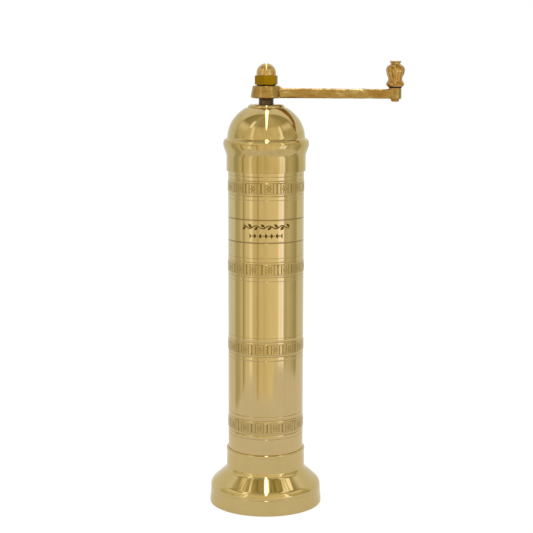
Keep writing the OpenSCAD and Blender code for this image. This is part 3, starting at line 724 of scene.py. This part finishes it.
def tube_outline(middles):
    """The tube's wall, turned down where the rings of ornament sit."""
    seats = [(m - LINE_FAR, m + LINE_FAR) for m in middles] + [(PANEL_LOW, PANEL_HIGH)]
    corners = [(TUBE_R - TUBE_WALL, TUBE_LOW), (TUBE_R - 0.1, TUBE_LOW), (TUBE_R, TUBE_LOW + 0.1)]
    for low, high in sorted(seats):
        corners += [(TUBE_R, low - 0.06), (TUBE_R - 0.04, low - 0.02), (TUBE_R - RING_SEAT, low - 0.01)]
        corners += [(TUBE_R - RING_SEAT, high + 0.01), (TUBE_R - 0.04, high + 0.02), (TUBE_R, high + 0.06)]
    corners += [(TUBE_R, TUBE_TOP - 0.25), (TUBE_R - 0.25, TUBE_TOP), (TUBE_R - TUBE_WALL, TUBE_TOP)]
    return corners


class CRANKMILL_OT_tube(bpy.types.Operator):
    """Adds the tube with its rolled bands and engraved panel"""

    bl_idname = "crankmill.tube"
    bl_label = "Tube"

    def execute(self, context):
        sizes = context.scene.mill_sizes
        middles = [sizes.band_first + i * sizes.band_pitch for i in range(sizes.band_count)]
        tube = turned("tube_wall", tube_outline(middles), sizes.segments)
        add_piece(tube, "mill_body", finish("polished_brass"), ["mill_tube"])
        for number, middle in enumerate(middles):
            add_band(number + 1, middle, math.radians(BAND_TURNS[number] - 90))
        add_panel()
        return {"FINISHED"}


# ---------------------------------------------------------------- foot


def foot_outline():
    """The foot's wall: rim, shoulder, flare, hollow and neck, outside and then inside."""
    socket_r = TUBE_R + 0.05
    cone = math.radians(48)
    shoulder = arc((RIM_R - 5.46, 8.28), 5, 5, 5, math.degrees(cone), 14)
    top_r, top_z = shoulder[-1]
    hollow_z = 16.65
    hollow_r = top_r - (hollow_z - top_z) * math.tan(cone)
    centre = (hollow_r + 4 * math.cos(cone), hollow_z + 4 * math.sin(cone))
    hollow = arc(centre, 4, 4, 180 + math.degrees(cone), 180, 12)
    neck_r, neck_z = hollow[-1]
    outside = eased(
        [
            (RIM_R - 2.2, 0.0, 0.0),
            (RIM_R - 0.12, 0.0, 0.1),
            (RIM_R, 0.12, 0.1),
            (RIM_R - 0.05, 2.2, 0.8),
            (RIM_R - 0.36, 4.4, 1.6),
            (RIM_R - 0.48, 7.75, 0.1),
            (RIM_R - 0.66, 7.85, 0.1),
            (RIM_R - 0.56, 8.1, 0.12),
        ]
    )
    outside += shoulder + hollow
    outside += eased(
        [
            (neck_r, neck_z + 0.1, 0.0),
            (neck_r - 0.12, FOOT_TOP - 1.75, 0.4),
            (neck_r + 0.1, FOOT_TOP - 1.35, 0.3),
            (neck_r + 0.1, FOOT_TOP - 0.3, 0.28),
            (neck_r - 0.3, FOOT_TOP, 0.2),
            (socket_r, FOOT_TOP, 0.0),
        ]
    )
    inside = [
        (socket_r, TUBE_LOW - 0.02), (17.9, TUBE_LOW - 0.02), (17.9, TUBE_LOW - 1.5),
        (18.35, TUBE_LOW - 1.5), (RIM_R - 2.2, 9.3),
    ]
    return outside + inside


class CRANKMILL_OT_foot(bpy.types.Operator):
    """Adds the spun foot"""

    bl_idname = "crankmill.foot"
    bl_label = "Foot"

    def execute(self, context):
        piece = turned("spun_foot", foot_outline(), context.scene.mill_sizes.segments)
        add_piece(piece, "mill_body", finish("foot_brass"), ["foot"])
        return {"FINISHED"}


# ---------------------------------------------------------------- cap


def cap_outline():
    """The cap's wall: sleeve, bead, crease and dome, outside and then inside."""
    sleeve_r, wall, bore = 19.8, 0.7, 5.3
    height = CAP_TOP - CAP_LOW
    bead_low, bead_mid = 7.0, 13.4
    t = np.linspace(0, 1, 17)
    swell = list(zip(sleeve_r + (BEAD_R - 0.02 - sleeve_r) * np.sin(t * math.pi / 2) ** 2,
                     bead_low + (bead_mid - bead_low) * t))
    dome = arc((0, 15.1), 19.45, 18.8, 5.5, 58.7, 48)
    fullness = 0.22 * np.sin(np.linspace(0, math.pi, len(dome)))
    dome = [(r + more, z) for (r, z), more in zip(dome, fullness)]
    outside = [(sleeve_r - 0.12, 0.0), (sleeve_r, 0.12)] + swell
    outside += arc((20.15, bead_mid), BEAD_R - 0.02 - 20.15, 2.45, 8, 86, 12)
    outside += [(20.0, 16.0), (19.7, 16.15), (19.5, 16.4), (19.4, 16.7)] + dome[1:]
    outside += [(dome[-1][0] - 0.35, height - 0.01), (bore, height - 0.01)]
    path = np.array(outside)
    along = np.gradient(path, axis=0)
    normal = np.stack([-along[:, 1], along[:, 0]], 1) / np.linalg.norm(along, axis=1)[:, None]
    inside = path + normal * wall
    keep = (inside[:, 1] > 0.2) & (inside[:, 1] < height - wall - 0.02) & (inside[:, 0] > bore)
    inner = [tuple(p) for p in inside[keep][::-1]]
    outline = outside + [(bore, height - wall)] + inner + [(sleeve_r - wall, 0.0)]
    return [(r, z + CAP_LOW) for r, z in outline]


def collar_outline():
    """The flanged collar on top of the dome, with the spindle's bore."""
    flange_r = outer_radius("cap_bush")
    bottom, low, shank_r = span("cap_bush", 2)[0], CAP_TOP + 0.01, 5.15
    bore = span("spindle", 0)[1] + 0.06
    corners = [(bore, bottom), (shank_r, bottom), (shank_r, low), (flange_r - 0.25, low)]
    corners += arc((flange_r - 1.9, COLLAR_TOP - 1.5), 1.9, 1.5, -8, 84, 14)
    corners += [(flange_r - 2.4, COLLAR_TOP), (bore + 0.5, COLLAR_TOP), (bore, COLLAR_TOP - 0.35)]
    return corners


class CRANKMILL_OT_cap(bpy.types.Operator):
    """Adds the domed cap and its collar"""

    bl_idname = "crankmill.cap"
    bl_label = "Cap"

    def execute(self, context):
        segments = context.scene.mill_sizes.segments
        cap = turned("spun_cap", cap_outline(), segments)
        add_piece(cap, "cap", finish("cap_brass"), ["dome_cap"])
        collar = turned("cap_collar", collar_outline(), segments)
        add_piece(collar, "cap", finish("cap_brass"), ["cap_bush"])
        return {"FINISHED"}


# ---------------------------------------------------------------- crank

BOSS_DROP = 0.55             # how far the boss reaches below the hub and the bar
BAR_START = (6.5, 9.0)       # where the rough-cast bar leaves the turned hub
BAR_END = (59.0, 61.0)       # where it runs into the turned boss


def top_wear(x):
    """Uneven casting along the bar's upper edge: a low step and a small lump, in mm."""
    return -0.1 * float(smooth(31.5, 34.0, x)) + 0.14 * math.exp(-(((x - 47.5) / 1.1) ** 2))


def bar_mesh(start, end, low, height, width_start, width_end, drop):
    """The crank's bar as a rounded, tapering box along X, as points and faces in mm."""
    count, around, squareness = 60, 24, 0.38
    points = []
    for t in np.arange(count + 1) / count:
        x = start + (end - start) * t
        half_w = (width_start + (width_end - width_start) * t) / 2
        half_h = height / 2
        for k in range(around):
            c = math.cos(2 * math.pi * k / around)
            s = math.sin(2 * math.pi * k / around)
            y = half_w * math.copysign(abs(c) ** squareness, c)
            z = half_h * math.copysign(abs(s) ** squareness, s)
            if s > 0:
                z += top_wear(x)
            points.append((x, y, low + half_h - drop * t + z))
    faces = wound(count + 1, around, False)
    faces.append(list(range(around)))
    faces.append([count * around + k for k in range(around)][::-1])
    return points, faces


def roughened(mesh, amount, scale, seed, keep):
    """Moves the points of a cast mesh along their normals by smooth noise, weighted by keep."""
    offset = Vector((seed, seed * 1.7, seed * 0.3))
    moved = []
    for vertex in mesh.vertices:
        value = noise.fractal(vertex.co * scale + offset, 0.7, 2.0, 3)
        moved.append(vertex.co + vertex.normal * value * amount * keep(vertex.co))
    mesh.vertices.foreach_set("co", np.array(moved, np.float32).ravel())
    mesh.update()


def inside_box(piece, node):
    """Keeps every point of a cast piece inside the box of the CAD node it stands for."""
    low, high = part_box(node)
    points = np.zeros(len(piece.data.vertices) * 3, np.float32)
    piece.data.vertices.foreach_get("co", points)
    points = np.clip(points.reshape(-1, 3), np.array(low), np.array(high))
    piece.data.vertices.foreach_set("co", points.ravel().astype(np.float32))


def joined_solids(name, solids, voxel):
    """One mesh from several overlapping solids, remeshed so that their joins flow together."""
    bpy.ops.object.select_all(action="DESELECT")
    for piece in solids:
        piece.select_set(True)
    bpy.context.view_layer.objects.active = solids[0]
    bpy.ops.object.join()
    piece = bpy.context.view_layer.objects.active
    piece.name = name
    remesh = piece.modifiers.new("one_skin", "REMESH")
    remesh.mode = "VOXEL"
    remesh.voxel_size = voxel * MM
    remesh.use_smooth_shade = True
    relax = piece.modifiers.new("cast_fillets", "SMOOTH")
    relax.factor = 0.5
    relax.iterations = 5
    as_mesh(piece)
    piece.select_set(False)
    return piece


class CRANKMILL_OT_crank(bpy.types.Operator):
    """Adds the cast crank"""

    bl_idname = "crankmill.crank"
    bl_label = "Crank"

    def execute(self, context):
        low, high = CRANK_LOW + BOSS_DROP, CRANK_HIGH
        bottom, top = CRANK_LOW + 0.02, span("knob_washer", 2)[0] - 0.03
        hub_outline = [
            (0, low), (6.9, low), (7.35, low + 0.12), (7.65, low + 0.6), (7.62, low + 1.2),
            (6.75, high - 0.5), (6.6, high - 0.15), (6.2, high), (0, high),
        ]
        boss_outline = [
            (0, bottom), (2.4, bottom), (2.9, CRANK_LOW + 0.3), (3.15, CRANK_LOW + 0.9),
            (3.17, top - 0.5), (3.1, top - 0.1), (2.9, top), (0, top),
        ]
        hub = turned("hub", hub_outline, 96)
        bar = solid("bar", *bar_mesh(5.0, KNOB_X, low + 0.02, 4.9, 6.4, 4.8, 0.25))
        root = solid("root", *bar_mesh(3.0, 7.5, low + 0.05, high - low - 0.4, 6.0, 5.6, 0.0))
        boss = turned("boss", boss_outline, 64, KNOB_X)
        piece = joined_solids("cast_crank", [hub, root, bar, boss], 0.17)

        def on_bar(place):
            """1 on the bar, little on the turned hub and boss."""
            x = place.x / MM
            return 0.1 + 0.9 * float(smooth(*BAR_START, x) * (1 - smooth(*BAR_END, x)))

        grain = context.scene.mill_sizes.cast_grain * MM
        roughened(piece.data, grain * 1.3, 200.0, 3.1, on_bar)
        roughened(piece.data, grain * 0.25, 900.0, 5.7, on_bar)
        point_values(piece.data, "cast_skin", [on_bar(vertex.co) for vertex in piece.data.vertices])
        inside_box(piece, "crank_arm")
        shaded(piece.data)
        add_piece(piece, "crank", finish("cast_brass"), ["crank_arm"])
        return {"FINISHED"}


# ---------------------------------------------------------------- knob


# The knob's outline: share of its height, and radius in millimetres.
KNOB_OUTLINE = (
    (0.0, 3.8), (0.045, 4.35), (0.09, 4.55), (0.14, 4.35), (0.2, 3.85), (0.27, 3.5), (0.36, 3.62),
    (0.46, 4.15), (0.56, 4.55), (0.64, 4.66), (0.72, 4.5), (0.79, 3.95), (0.84, 3.1), (0.875, 2.3),
    (0.91, 2.35), (0.95, 2.75), (0.985, 3.0), (1.0, 2.92),
)


class CRANKMILL_OT_knob(bpy.types.Operator):
    """Adds the cast knob, its washer and its pin"""

    bl_idname = "crankmill.knob"
    bl_label = "Knob"

    def execute(self, context):
        columns, rows = 144, 110
        bore_r, recess_r, recess = 1.56, 2.15, 0.6
        leaves, twist, body_depth, crown_depth = 8, 1.2, 0.34, 0.3
        height = KNOB_TOP - KNOB_LOW
        levels = np.linspace(0, height, rows)
        share, radius = np.array(KNOB_OUTLINE).T
        base = np.interp(levels, share * height, radius)
        kernel = np.array([1, 2, 3, 2, 1]) / 9
        base = np.convolve(np.pad(base, 2, mode="edge"), kernel, mode="valid")
        angles = np.linspace(0, 2 * math.pi, columns, endpoint=False)
        share, turn = np.meshgrid(levels / height, angles, indexing="ij")
        leaf = np.abs(np.cos(leaves / 2 * turn + twist * share))
        body = smooth(0.02, 0.3, share) * (1 - smooth(0.78, 0.9, share))
        crown = smooth(0.88, 0.97, share)
        radius = base[:, None] - (body_depth * body + crown_depth * crown) * (1 - leaf)
        radius = np.minimum(radius, KNOB_R)
        rim = np.full((1, columns), 1.0)
        radius = np.concatenate([radius, rim * recess_r, rim * recess_r, rim * bore_r, rim * bore_r])
        levels = np.concatenate([levels, [height, height - recess, height - recess, 0.0]]) + KNOB_LOW
        points = ring_points(radius, angles, levels, KNOB_X)
        piece = solid("cast_knob", points, wound(len(levels), columns, True))

        def off_bore(place):
            return float(smooth(2.0, 2.6, math.hypot(place.x / MM - KNOB_X, place.y / MM)))

        roughened(piece.data, 0.16 * MM, 330.0, 9.2, off_bore)
        inside_box(piece, "crank_knob")
        point_values(piece.data, "cast_skin", np.full(len(piece.data.vertices), 0.6))
        shaded(piece.data)
        add_piece(piece, "knob", finish("knob_brass"), ["crank_knob"])
        refined_copy("knob_rivet", "knob_pin", "crank", finish("knob_brass"))
        refined_copy("knob_disc", "knob_washer", "crank", finish("near_black_steel"), 0.05)
        return {"FINISHED"}


# ---------------------------------------------------------------- cap nut


class CRANKMILL_OT_nut(bpy.types.Operator):
    """Adds the domed cap nut and its washer"""

    bl_idname = "crankmill.nut"
    bl_label = "Cap Nut"

    def execute(self, context):
        columns = 240
        hex_h, apothem, corner, turn = 4.6, 5.2, 6.0, math.radians(20)
        dome_r, round_z, bore, on_axis = 4.87, hex_h + 0.95, 2.6, 1e-7
        bevel, low_bevel, slope, sharpness = 0.55, 0.45, 1.9, 14
        angles = np.linspace(0, 2 * math.pi, columns, endpoint=False)
        sector = (angles - turn) % (math.pi / 3) - math.pi / 6
        hexagon = corner - apothem / np.cos(sector)
        hexagon = corner - np.log1p(np.exp((hexagon - 0.08) * sharpness)) / sharpness
        rows = [(on_axis, round_z + 2.2), (bore, round_z + 1.6), (bore, 0.4), (bore + 0.4, 0.0)]
        for z in np.linspace(0.0, hex_h, 41):
            cone = corner + 0.2
            if z < low_bevel:
                cone = corner - bevel + slope * z
            if z > hex_h - bevel:
                cone = corner + 0.1 - slope * (z - hex_h + bevel)
            rows.append((np.minimum(hexagon, cone), z))
        rows += [(dome_r + 0.12, hex_h + 0.02), (dome_r, hex_h + 0.16)]
        for t in np.radians(np.linspace(0, 90, 33)):
            rows.append((max(dome_r * math.cos(t), on_axis), round_z + dome_r * math.sin(t)))
        # Painted shade: the hexagon's points take the darker flats colour through the engraving number,
        # and the dome keeps the plain nut brass.
        flats = [1.0 if z < hex_h else 0.0 for _, z in rows]
        radius = np.array([np.broadcast_to(r, columns) for r, _ in rows])
        levels = np.minimum(np.array([z for _, z in rows]) + NUT_LOW, NUT_TOP - 0.005)
        points = ring_points(radius, angles, levels)
        faces = wound(len(rows), columns, False)
        piece = solid("cap_nut", points, faces, np.repeat(flats, columns))
        inside_box(piece, "acorn_nut")
        add_piece(piece, "nut", finish("nut_brass"), ["acorn_nut"])
        refined_copy("nut_disc", "nut_washer", "crank", finish("near_black_steel"), 0.05)
        return {"FINISHED"}


# ---------------------------------------------------------------- works


class CRANKMILL_OT_works(bpy.types.Operator):
    """Adds the spindle, burrs, bridges, spring and adjusting screw"""

    bl_idname = "crankmill.works"
    bl_label = "Works"

    def execute(self, context):
        brass, cast, steel = "polished_brass", "cast_brass", "steel"
        for name, node, body, slot, metal in (
            ("spindle_rod", "spindle", "drive", "dark_steel", "dark_steel"),
            ("cone_burr", "burr_cone", "drive", steel, "machined_steel"),
            ("cross_pin", "drive_pin", "drive", steel, "machined_steel"),
            ("seat_washer", "spring_seat", "drive", steel, "machined_steel"),
            ("spindle_clip", "seat_clip", "drive", steel, "machined_steel"),
            ("ring_burr", "burr_ring", "mill_body", steel, "machined_steel"),
            ("burr_holder", "burr_carrier", "mill_body", cast, "machined_brass"),
            ("bridge_bar", "lower_bridge", "mill_body", steel, "machined_steel"),
            ("bridge_bolts", "bridge_screws", "mill_body", steel, "machined_steel"),
            ("locking_nut", "lock_nut", "mill_body", steel, "machined_steel"),
            ("mouth_bridge", "upper_bridge", "mill_body", brass, "machined_brass"),
            ("mouth_rivets", "bridge_rivets", "mill_body", brass, "machined_brass"),
            ("spindle_guide", "guide_bush", "mill_body", cast, "machined_brass"),
            ("collar_nut", "cap_bush_nut", "cap", brass, "machined_brass"),
            ("thumb_screw", "adjusting_screw", "adjuster", cast, "machined_brass"),
            ("bearing_ball", "thrust_ball", "thrust", steel, "machined_steel"),
            ("coil_spring", "spindle_spring", "mill_body", steel, "machined_steel"),
        ):
            bevel = 0.0 if name in ("bearing_ball", "coil_spring") else 0.06
            refined_copy(name, node, body, finish(metal), bevel)
        return {"FINISHED"}


# ---------------------------------------------------------------- stage

CAMERA_X = 0.0001
CAMERA_ROLL = math.radians(-0.11)

# The room as the metal sees it: tones around the mill at three heights of view. Azimuths are in
# degrees, 0 in front and + towards +X.
ROOM_LOW = (
    (-180, (0.85, 0.87, 0.84)), (-112, (0.87, 0.90, 0.88)), (-108, (0.72, 0.72, 0.63)),
    (-103, (0.60, 0.59, 0.45)), (-90, (0.62, 0.60, 0.40)), (-85, (0.76, 0.72, 0.54)),
    (-79, (0.88, 0.84, 0.68)), (-75, (0.80, 0.76, 0.58)), (-73, (0.50, 0.45, 0.29)),
    (-71, (0.52, 0.47, 0.30)), (-68, (0.78, 0.73, 0.52)), (-60, (0.98, 0.91, 0.68)),
    (-52, (1.00, 0.95, 0.72)), (-49, (1.25, 1.22, 1.15)), (-44, (1.25, 1.25, 1.20)),
    (-40, (0.95, 0.88, 0.68)), (-36, (0.88, 0.79, 0.52)), (-29, (0.90, 0.82, 0.56)),
    (-26, (0.70, 0.61, 0.38)), (-23, (0.66, 0.58, 0.37)), (-20, (0.92, 0.83, 0.58)),
    (-12, (0.95, 0.86, 0.60)), (-2, (0.90, 0.81, 0.55)), (3, (0.96, 0.88, 0.63)),
    (15, (1.03, 0.95, 0.70)), (33, (1.05, 0.97, 0.73)), (38, (1.25, 1.10, 0.90)),
    (42, (1.50, 1.48, 1.60)), (48, (1.35, 1.32, 1.35)), (51, (1.50, 1.55, 1.90)),
    (54, (1.40, 1.60, 2.10)), (57, (0.85, 0.80, 0.70)), (60, (0.69, 0.63, 0.41)),
    (72, (0.80, 0.75, 0.57)), (84, (0.67, 0.65, 0.47)), (97, (0.53, 0.51, 0.34)),
    (104, (0.51, 0.49, 0.31)), (109, (0.74, 0.74, 0.55)), (114, (0.82, 0.83, 0.73)),
    (180, (0.80, 0.83, 0.75)),
)
ROOM_MIDDLE = (
    (-180, (0.86, 0.86, 0.78)), (-113, (0.86, 0.86, 0.78)), (-104, (0.74, 0.71, 0.52)),
    (-64, (0.80, 0.76, 0.54)), (-56, (0.92, 0.86, 0.65)), (-47, (1.00, 0.95, 0.75)),
    (-44, (1.55, 1.50, 1.35)), (-41, (1.40, 1.35, 1.20)), (-38, (0.90, 0.82, 0.60)),
    (-10, (0.92, 0.83, 0.60)), (20, (0.97, 0.88, 0.65)), (41, (0.98, 0.90, 0.68)),
    (44, (1.50, 1.50, 1.40)), (49, (1.70, 1.70, 1.65)), (52, (0.66, 0.60, 0.40)),
    (60, (0.68, 0.62, 0.42)), (100, (0.66, 0.60, 0.38)), (106, (0.80, 0.76, 0.60)),
    (112, (0.86, 0.86, 0.78)), (180, (0.86, 0.86, 0.78)),
)
ROOM_HIGH = (
    (-180, (0.97, 0.97, 0.92)), (-114, (0.97, 0.96, 0.90)), (-104, (0.40, 0.37, 0.22)),
    (-64, (0.54, 0.50, 0.34)), (-45, (0.70, 0.65, 0.46)), (-20, (0.56, 0.52, 0.38)),
    (-5, (0.58, 0.54, 0.40)), (10, (0.70, 0.65, 0.46)), (30, (0.80, 0.74, 0.52)),
    (50, (0.68, 0.62, 0.42)), (80, (0.50, 0.46, 0.28)), (104, (0.46, 0.43, 0.26)),
    (114, (0.97, 0.96, 0.90)), (180, (0.97, 0.97, 0.92)),
)

# The elevations over which the low tones turn into the middle ones, and those into the high ones.
LOW_TO_MIDDLE = (3, 12)
MIDDLE_TO_HIGH = (34, 46)
# Soft patches hung in the room: azimuth and elevation ranges, softness, and a tone.
ROOM_PATCHES = (
    ((-103, -62), (25, 41), 7, (1.02, 0.98, 0.84)),
    ((-60, -49), (35, 58), 2.5, (1.60, 1.62, 1.65)),
    ((56, 95), (27, 41), 7, (1.08, 1.03, 0.88)),
)
# Boards hung over the foot, seen only in its flare: their ranges along X and Y, in millimetres,
# and the two tones that swirl in them.
BOARDS = (
    ((-152, -68), (-90, 40), (0.55, 0.50, 0.30), (1.30, 1.22, 0.95)),
    ((-67, -12), (-110, -28), (0.30, 0.26, 0.09), (0.60, 0.54, 0.30)),
    ((22, 80), (-110, -28), (0.34, 0.30, 0.11), (0.62, 0.56, 0.30)),
    ((82, 132), (-90, 40), (0.85, 0.78, 0.55), (1.60, 1.58, 1.55)),
)
BOARD_HEIGHT = 186
# The long lamp overhead: ranges of sideways and forward slope with their softness, and a tone.
LAMP_ACROSS = (-0.012, 0.062, 0.03)
LAMP_AHEAD = (-1.45, 3.0, 0.3)
LAMP_TONE = (6.0, 6.0, 6.0, 1.0)
FLOOR_HALF = 3.0                     # half the floor's side, in metres
FLOOR_DROP = 0.04                    # how far the floor lies under the foot, in millimetres
# How far the white floor shows in the metal at each azimuth, in millimetres.
FLOOR_REACH = (
    (-180, 400), (-112, 400), (-108, 210), (-95, 214), (-51, 310), (-33, 310), (-26, 250),
    (20, 250), (26, 350), (75, 340), (100, 300), (112, 400), (180, 400),
)


def stops_ramp(tree, position, stops):
    """A colour or grey that follows position through the stops, in degrees from -180 to 180."""
    made = add_node(tree, "ShaderNodeValToRGB")
    first, last = stops[0][0], stops[-1][0]
    tree.links.new(ranged(tree, position, first, last, 0.0, 1.0), made.inputs[0])
    elements = made.color_ramp.elements
    for i in range(len(stops) - 2):
        elements.new((i + 1) / len(stops))
    for element, (place, tone) in zip(elements, stops):
        element.position = (place - first) / (last - first)
        element.color = (*tone, 1.0) if isinstance(tone, tuple) else (tone, tone, tone, 1.0)
    return made.outputs["Color"]


def around(tree, azimuth, stops):
    """The stops around the whole horizon, as one ramp for each side."""
    left = [stop for stop in stops if stop[0] <= 0]
    right = [stop for stop in stops if stop[0] > 0]
    middle = (0, left[-1][1])
    left_side = stops_ramp(tree, azimuth, left + [middle] if left[-1][0] < 0 else left)
    right_side = stops_ramp(tree, azimuth, [middle] + right)
    front = calculated(tree, "GREATER_THAN", azimuth, 0.0)
    return mixed(tree, front, left_side, right_side)


def compass(tree, direction):
    """Azimuth of a direction in degrees, 0 towards -Y and + towards +X, with its split axes."""
    split = add_node(tree, "ShaderNodeSeparateXYZ")
    tree.links.new(direction, split.inputs[0])
    away = times(tree, split.outputs["Y"], -1.0)
    turn = calculated(tree, "ARCTAN2", split.outputs["X"], away)
    return times(tree, turn, 180 / math.pi), split.outputs


def between(tree, value, low, high, soft):
    """1 where value lies between low and high, with a soft edge on both."""
    rise = rising(tree, value, low - soft, low + soft)
    fall = ranged(tree, value, high - soft, high + soft, 1.0, 0.0, True)
    return times(tree, rise, fall)


def room_world(white):
    """A white surround for the floor and the view, with the room's tones in reflections."""
    world = bpy.data.worlds.new("studio")
    bpy.context.scene.world = world
    world.use_nodes = True
    tree = world.node_tree
    place = add_node(tree, "ShaderNodeTexCoord")
    azimuth, axes = compass(tree, place.outputs["Generated"])
    height = calculated(tree, "MAXIMUM", calculated(tree, "MINIMUM", axes["Z"], 1.0), -1.0)
    elevation = times(tree, calculated(tree, "ARCSINE", height), 180 / math.pi)
    low, middle = around(tree, azimuth, ROOM_LOW), around(tree, azimuth, ROOM_MIDDLE)
    shown = mixed(tree, rising(tree, elevation, *LOW_TO_MIDDLE), low, middle)
    high = around(tree, azimuth, ROOM_HIGH)
    shown = mixed(tree, rising(tree, elevation, *MIDDLE_TO_HIGH), shown, high)
    for sides, levels, soft, patch_tone in ROOM_PATCHES:
        across = between(tree, azimuth, *sides, soft)
        patch = times(tree, across, between(tree, elevation, *levels, soft))
        shown = mixed(tree, patch, shown, (*patch_tone, 1.0))
    up = calculated(tree, "MAXIMUM", axes["Z"], 0.001)
    across = between(tree, calculated(tree, "DIVIDE", axes["X"], up), *LAMP_ACROSS)
    ahead = between(tree, calculated(tree, "DIVIDE", axes["Y"], up), *LAMP_AHEAD)
    shown = mixed(tree, times(tree, across, ahead), shown, LAMP_TONE)
    path = add_node(tree, "ShaderNodeLightPath")
    final = mixed(tree, path.outputs["Is Glossy Ray"], (white, white, white, 1.0), shown)
    tree.links.new(final, tree.nodes["Background"].inputs["Color"])


def bare_material(name):
    """A material without a surface yet, and its tree."""
    made = bpy.data.materials.new(name)
    made.use_nodes = True
    made.node_tree.nodes.remove(made.node_tree.nodes["Principled BSDF"])
    return made, made.node_tree


def blended_surface(tree, share, first, second):
    """Mixes two shaders into the material's surface."""
    blend = add_node(tree, "ShaderNodeMixShader")
    for socket, source in zip(blend.inputs, (share, first.outputs[0], second.outputs[0])):
        tree.links.new(source, socket)
    tree.links.new(blend.outputs[0], tree.nodes["Material Output"].inputs["Surface"])


def board_material(dark, light):
    """A glow in two swirling tones that only reflections see, and only from below."""
    made, tree = bare_material("hung_board")
    made.cycles.emission_sampling = "NONE"
    place = add_node(tree, "ShaderNodeTexCoord")
    swirl = add_node(tree, "ShaderNodeTexNoise")
    swirl.inputs["Scale"].default_value = 32.0
    swirl.inputs["Detail"].default_value = 1.0
    swirl.inputs["Distortion"].default_value = 2.0
    tree.links.new(place.outputs["Object"], swirl.inputs["Vector"])
    turning = rising(tree, swirl.outputs["Fac"], 0.38, 0.62)
    glow = add_node(tree, "ShaderNodeEmission")
    tree.links.new(mixed(tree, turning, (*dark, 1.0), (*light, 1.0)), glow.inputs["Color"])
    path = add_node(tree, "ShaderNodeLightPath")
    side = add_node(tree, "ShaderNodeNewGeometry")
    front = calculated(tree, "SUBTRACT", 1.0, side.outputs["Backfacing"])
    seen = times(tree, front, path.outputs["Is Glossy Ray"])
    blended_surface(tree, seen, add_node(tree, "ShaderNodeBsdfTransparent"), glow)
    return made


def flat_card(name, left, right, near, far, level, material, down=False):
    """A flat rectangle, sizes in metres, facing up unless it is turned down."""
    mesh = bpy.data.meshes.new(name)
    corners = [(left, near, level), (right, near, level), (right, far, level), (left, far, level)]
    mesh.from_pydata(corners, [], [(3, 2, 1, 0) if down else (0, 1, 2, 3)])
    mesh.materials.append(material)
    add_object(name, mesh)


def floor_material():
    """A white sweep; beyond its reach it doesn't show in the metal."""
    made, tree = bare_material("white_sweep")
    place = add_node(tree, "ShaderNodeTexCoord")
    azimuth, _ = compass(tree, place.outputs["Object"])
    distance = add_node(tree, "ShaderNodeVectorMath", operation="LENGTH")
    tree.links.new(place.outputs["Object"], distance.inputs[0])
    reach = around(tree, azimuth, [(turn, far * MM) for turn, far in FLOOR_REACH])
    past = calculated(tree, "SUBTRACT", distance.outputs["Value"], reach)
    path = add_node(tree, "ShaderNodeLightPath")
    hidden = times(tree, rising(tree, past, -0.012, 0.012), path.outputs["Is Glossy Ray"])
    matt = add_node(tree, "ShaderNodeBsdfDiffuse")
    matt.inputs["Color"].default_value = (0.2, 0.2, 0.2, 1)
    glow = add_node(tree, "ShaderNodeEmission")
    tones = (0.67, 0.65, 0.60, 1), (0.85, 0.85, 0.85, 1)
    tree.links.new(mixed(tree, path.outputs["Is Camera Ray"], *tones), glow.inputs["Color"])
    both = add_node(tree, "ShaderNodeAddShader")
    tree.links.new(matt.outputs[0], both.inputs[0])
    tree.links.new(glow.outputs[0], both.inputs[1])
    blended_surface(tree, hidden, both, add_node(tree, "ShaderNodeBsdfTransparent"))
    return made


class CRANKMILL_OT_stage(bpy.types.Operator):
    """Adds the floor, the light and the camera"""

    bl_idname = "crankmill.stage"
    bl_label = "Stage"

    def execute(self, context):
        settings = context.scene.stage_settings
        half = FLOOR_HALF
        flat_card("floor", -half, half, -half, half, -FLOOR_DROP * MM, floor_material())
        for number, (sides, depths, dark, light) in enumerate(BOARDS):
            edges = [edge * MM for edge in (*sides, *depths, BOARD_HEIGHT)]
            flat_card(f"hung_board_{number + 1}", *edges, board_material(dark, light), True)
        room_world(settings.white)
        camera_data = bpy.data.cameras.new("camera")
        camera_data.sensor_width = 36.0
        camera_data.lens = 95.4
        camera = add_object("camera", camera_data)
        camera.location = (CAMERA_X, -settings.camera_distance, settings.camera_height)
        camera.rotation_euler = (math.pi / 2 - settings.camera_pitch, CAMERA_ROLL, 0.0)
        context.scene.camera = camera
        context.scene.view_settings.view_transform = "Standard"
        return {"FINISHED"}


# ---------------------------------------------------------------- add-on


class CRANKMILL_PT_panel(bpy.types.Panel):
    """Lists the mill's pieces"""

    bl_label = "Crank Mill"
    bl_idname = "CRANKMILL_PT_panel"
    bl_space_type = "VIEW_3D"
    bl_region_type = "UI"
    bl_category = "Crank Mill"

    def draw(self, context):
        layout = self.layout
        scene = context.scene
        for settings in (scene.mill_sizes, scene.mill_colours, scene.stage_settings):
            box = layout.box()
            for name in settings.__annotations__:
                box.prop(settings, name)
        for operator in OPERATORS:
            layout.operator(operator.bl_idname)


OPERATORS = (
    CRANKMILL_OT_stage,
    CRANKMILL_OT_tube,
    CRANKMILL_OT_foot,
    CRANKMILL_OT_cap,
    CRANKMILL_OT_crank,
    CRANKMILL_OT_knob,
    CRANKMILL_OT_nut,
    CRANKMILL_OT_works,
)
CLASSES = (MillSizes, MillColours, StageSettings, *OPERATORS, CRANKMILL_PT_panel)


def register():
    for each in CLASSES:
        bpy.utils.register_class(each)
    bpy.types.Scene.mill_sizes = PointerProperty(type=MillSizes)
    bpy.types.Scene.mill_colours = PointerProperty(type=MillColours)
    bpy.types.Scene.stage_settings = PointerProperty(type=StageSettings)


def unregister():
    del bpy.types.Scene.stage_settings
    del bpy.types.Scene.mill_colours
    del bpy.types.Scene.mill_sizes
    for each in reversed(CLASSES):
        bpy.utils.unregister_class(each)


def main():
    register()
    for operator in OPERATORS:
        group, name = operator.bl_idname.split(".")
        getattr(getattr(bpy.ops, group), name)()
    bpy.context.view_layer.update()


if __name__ == "__main__":
    main()
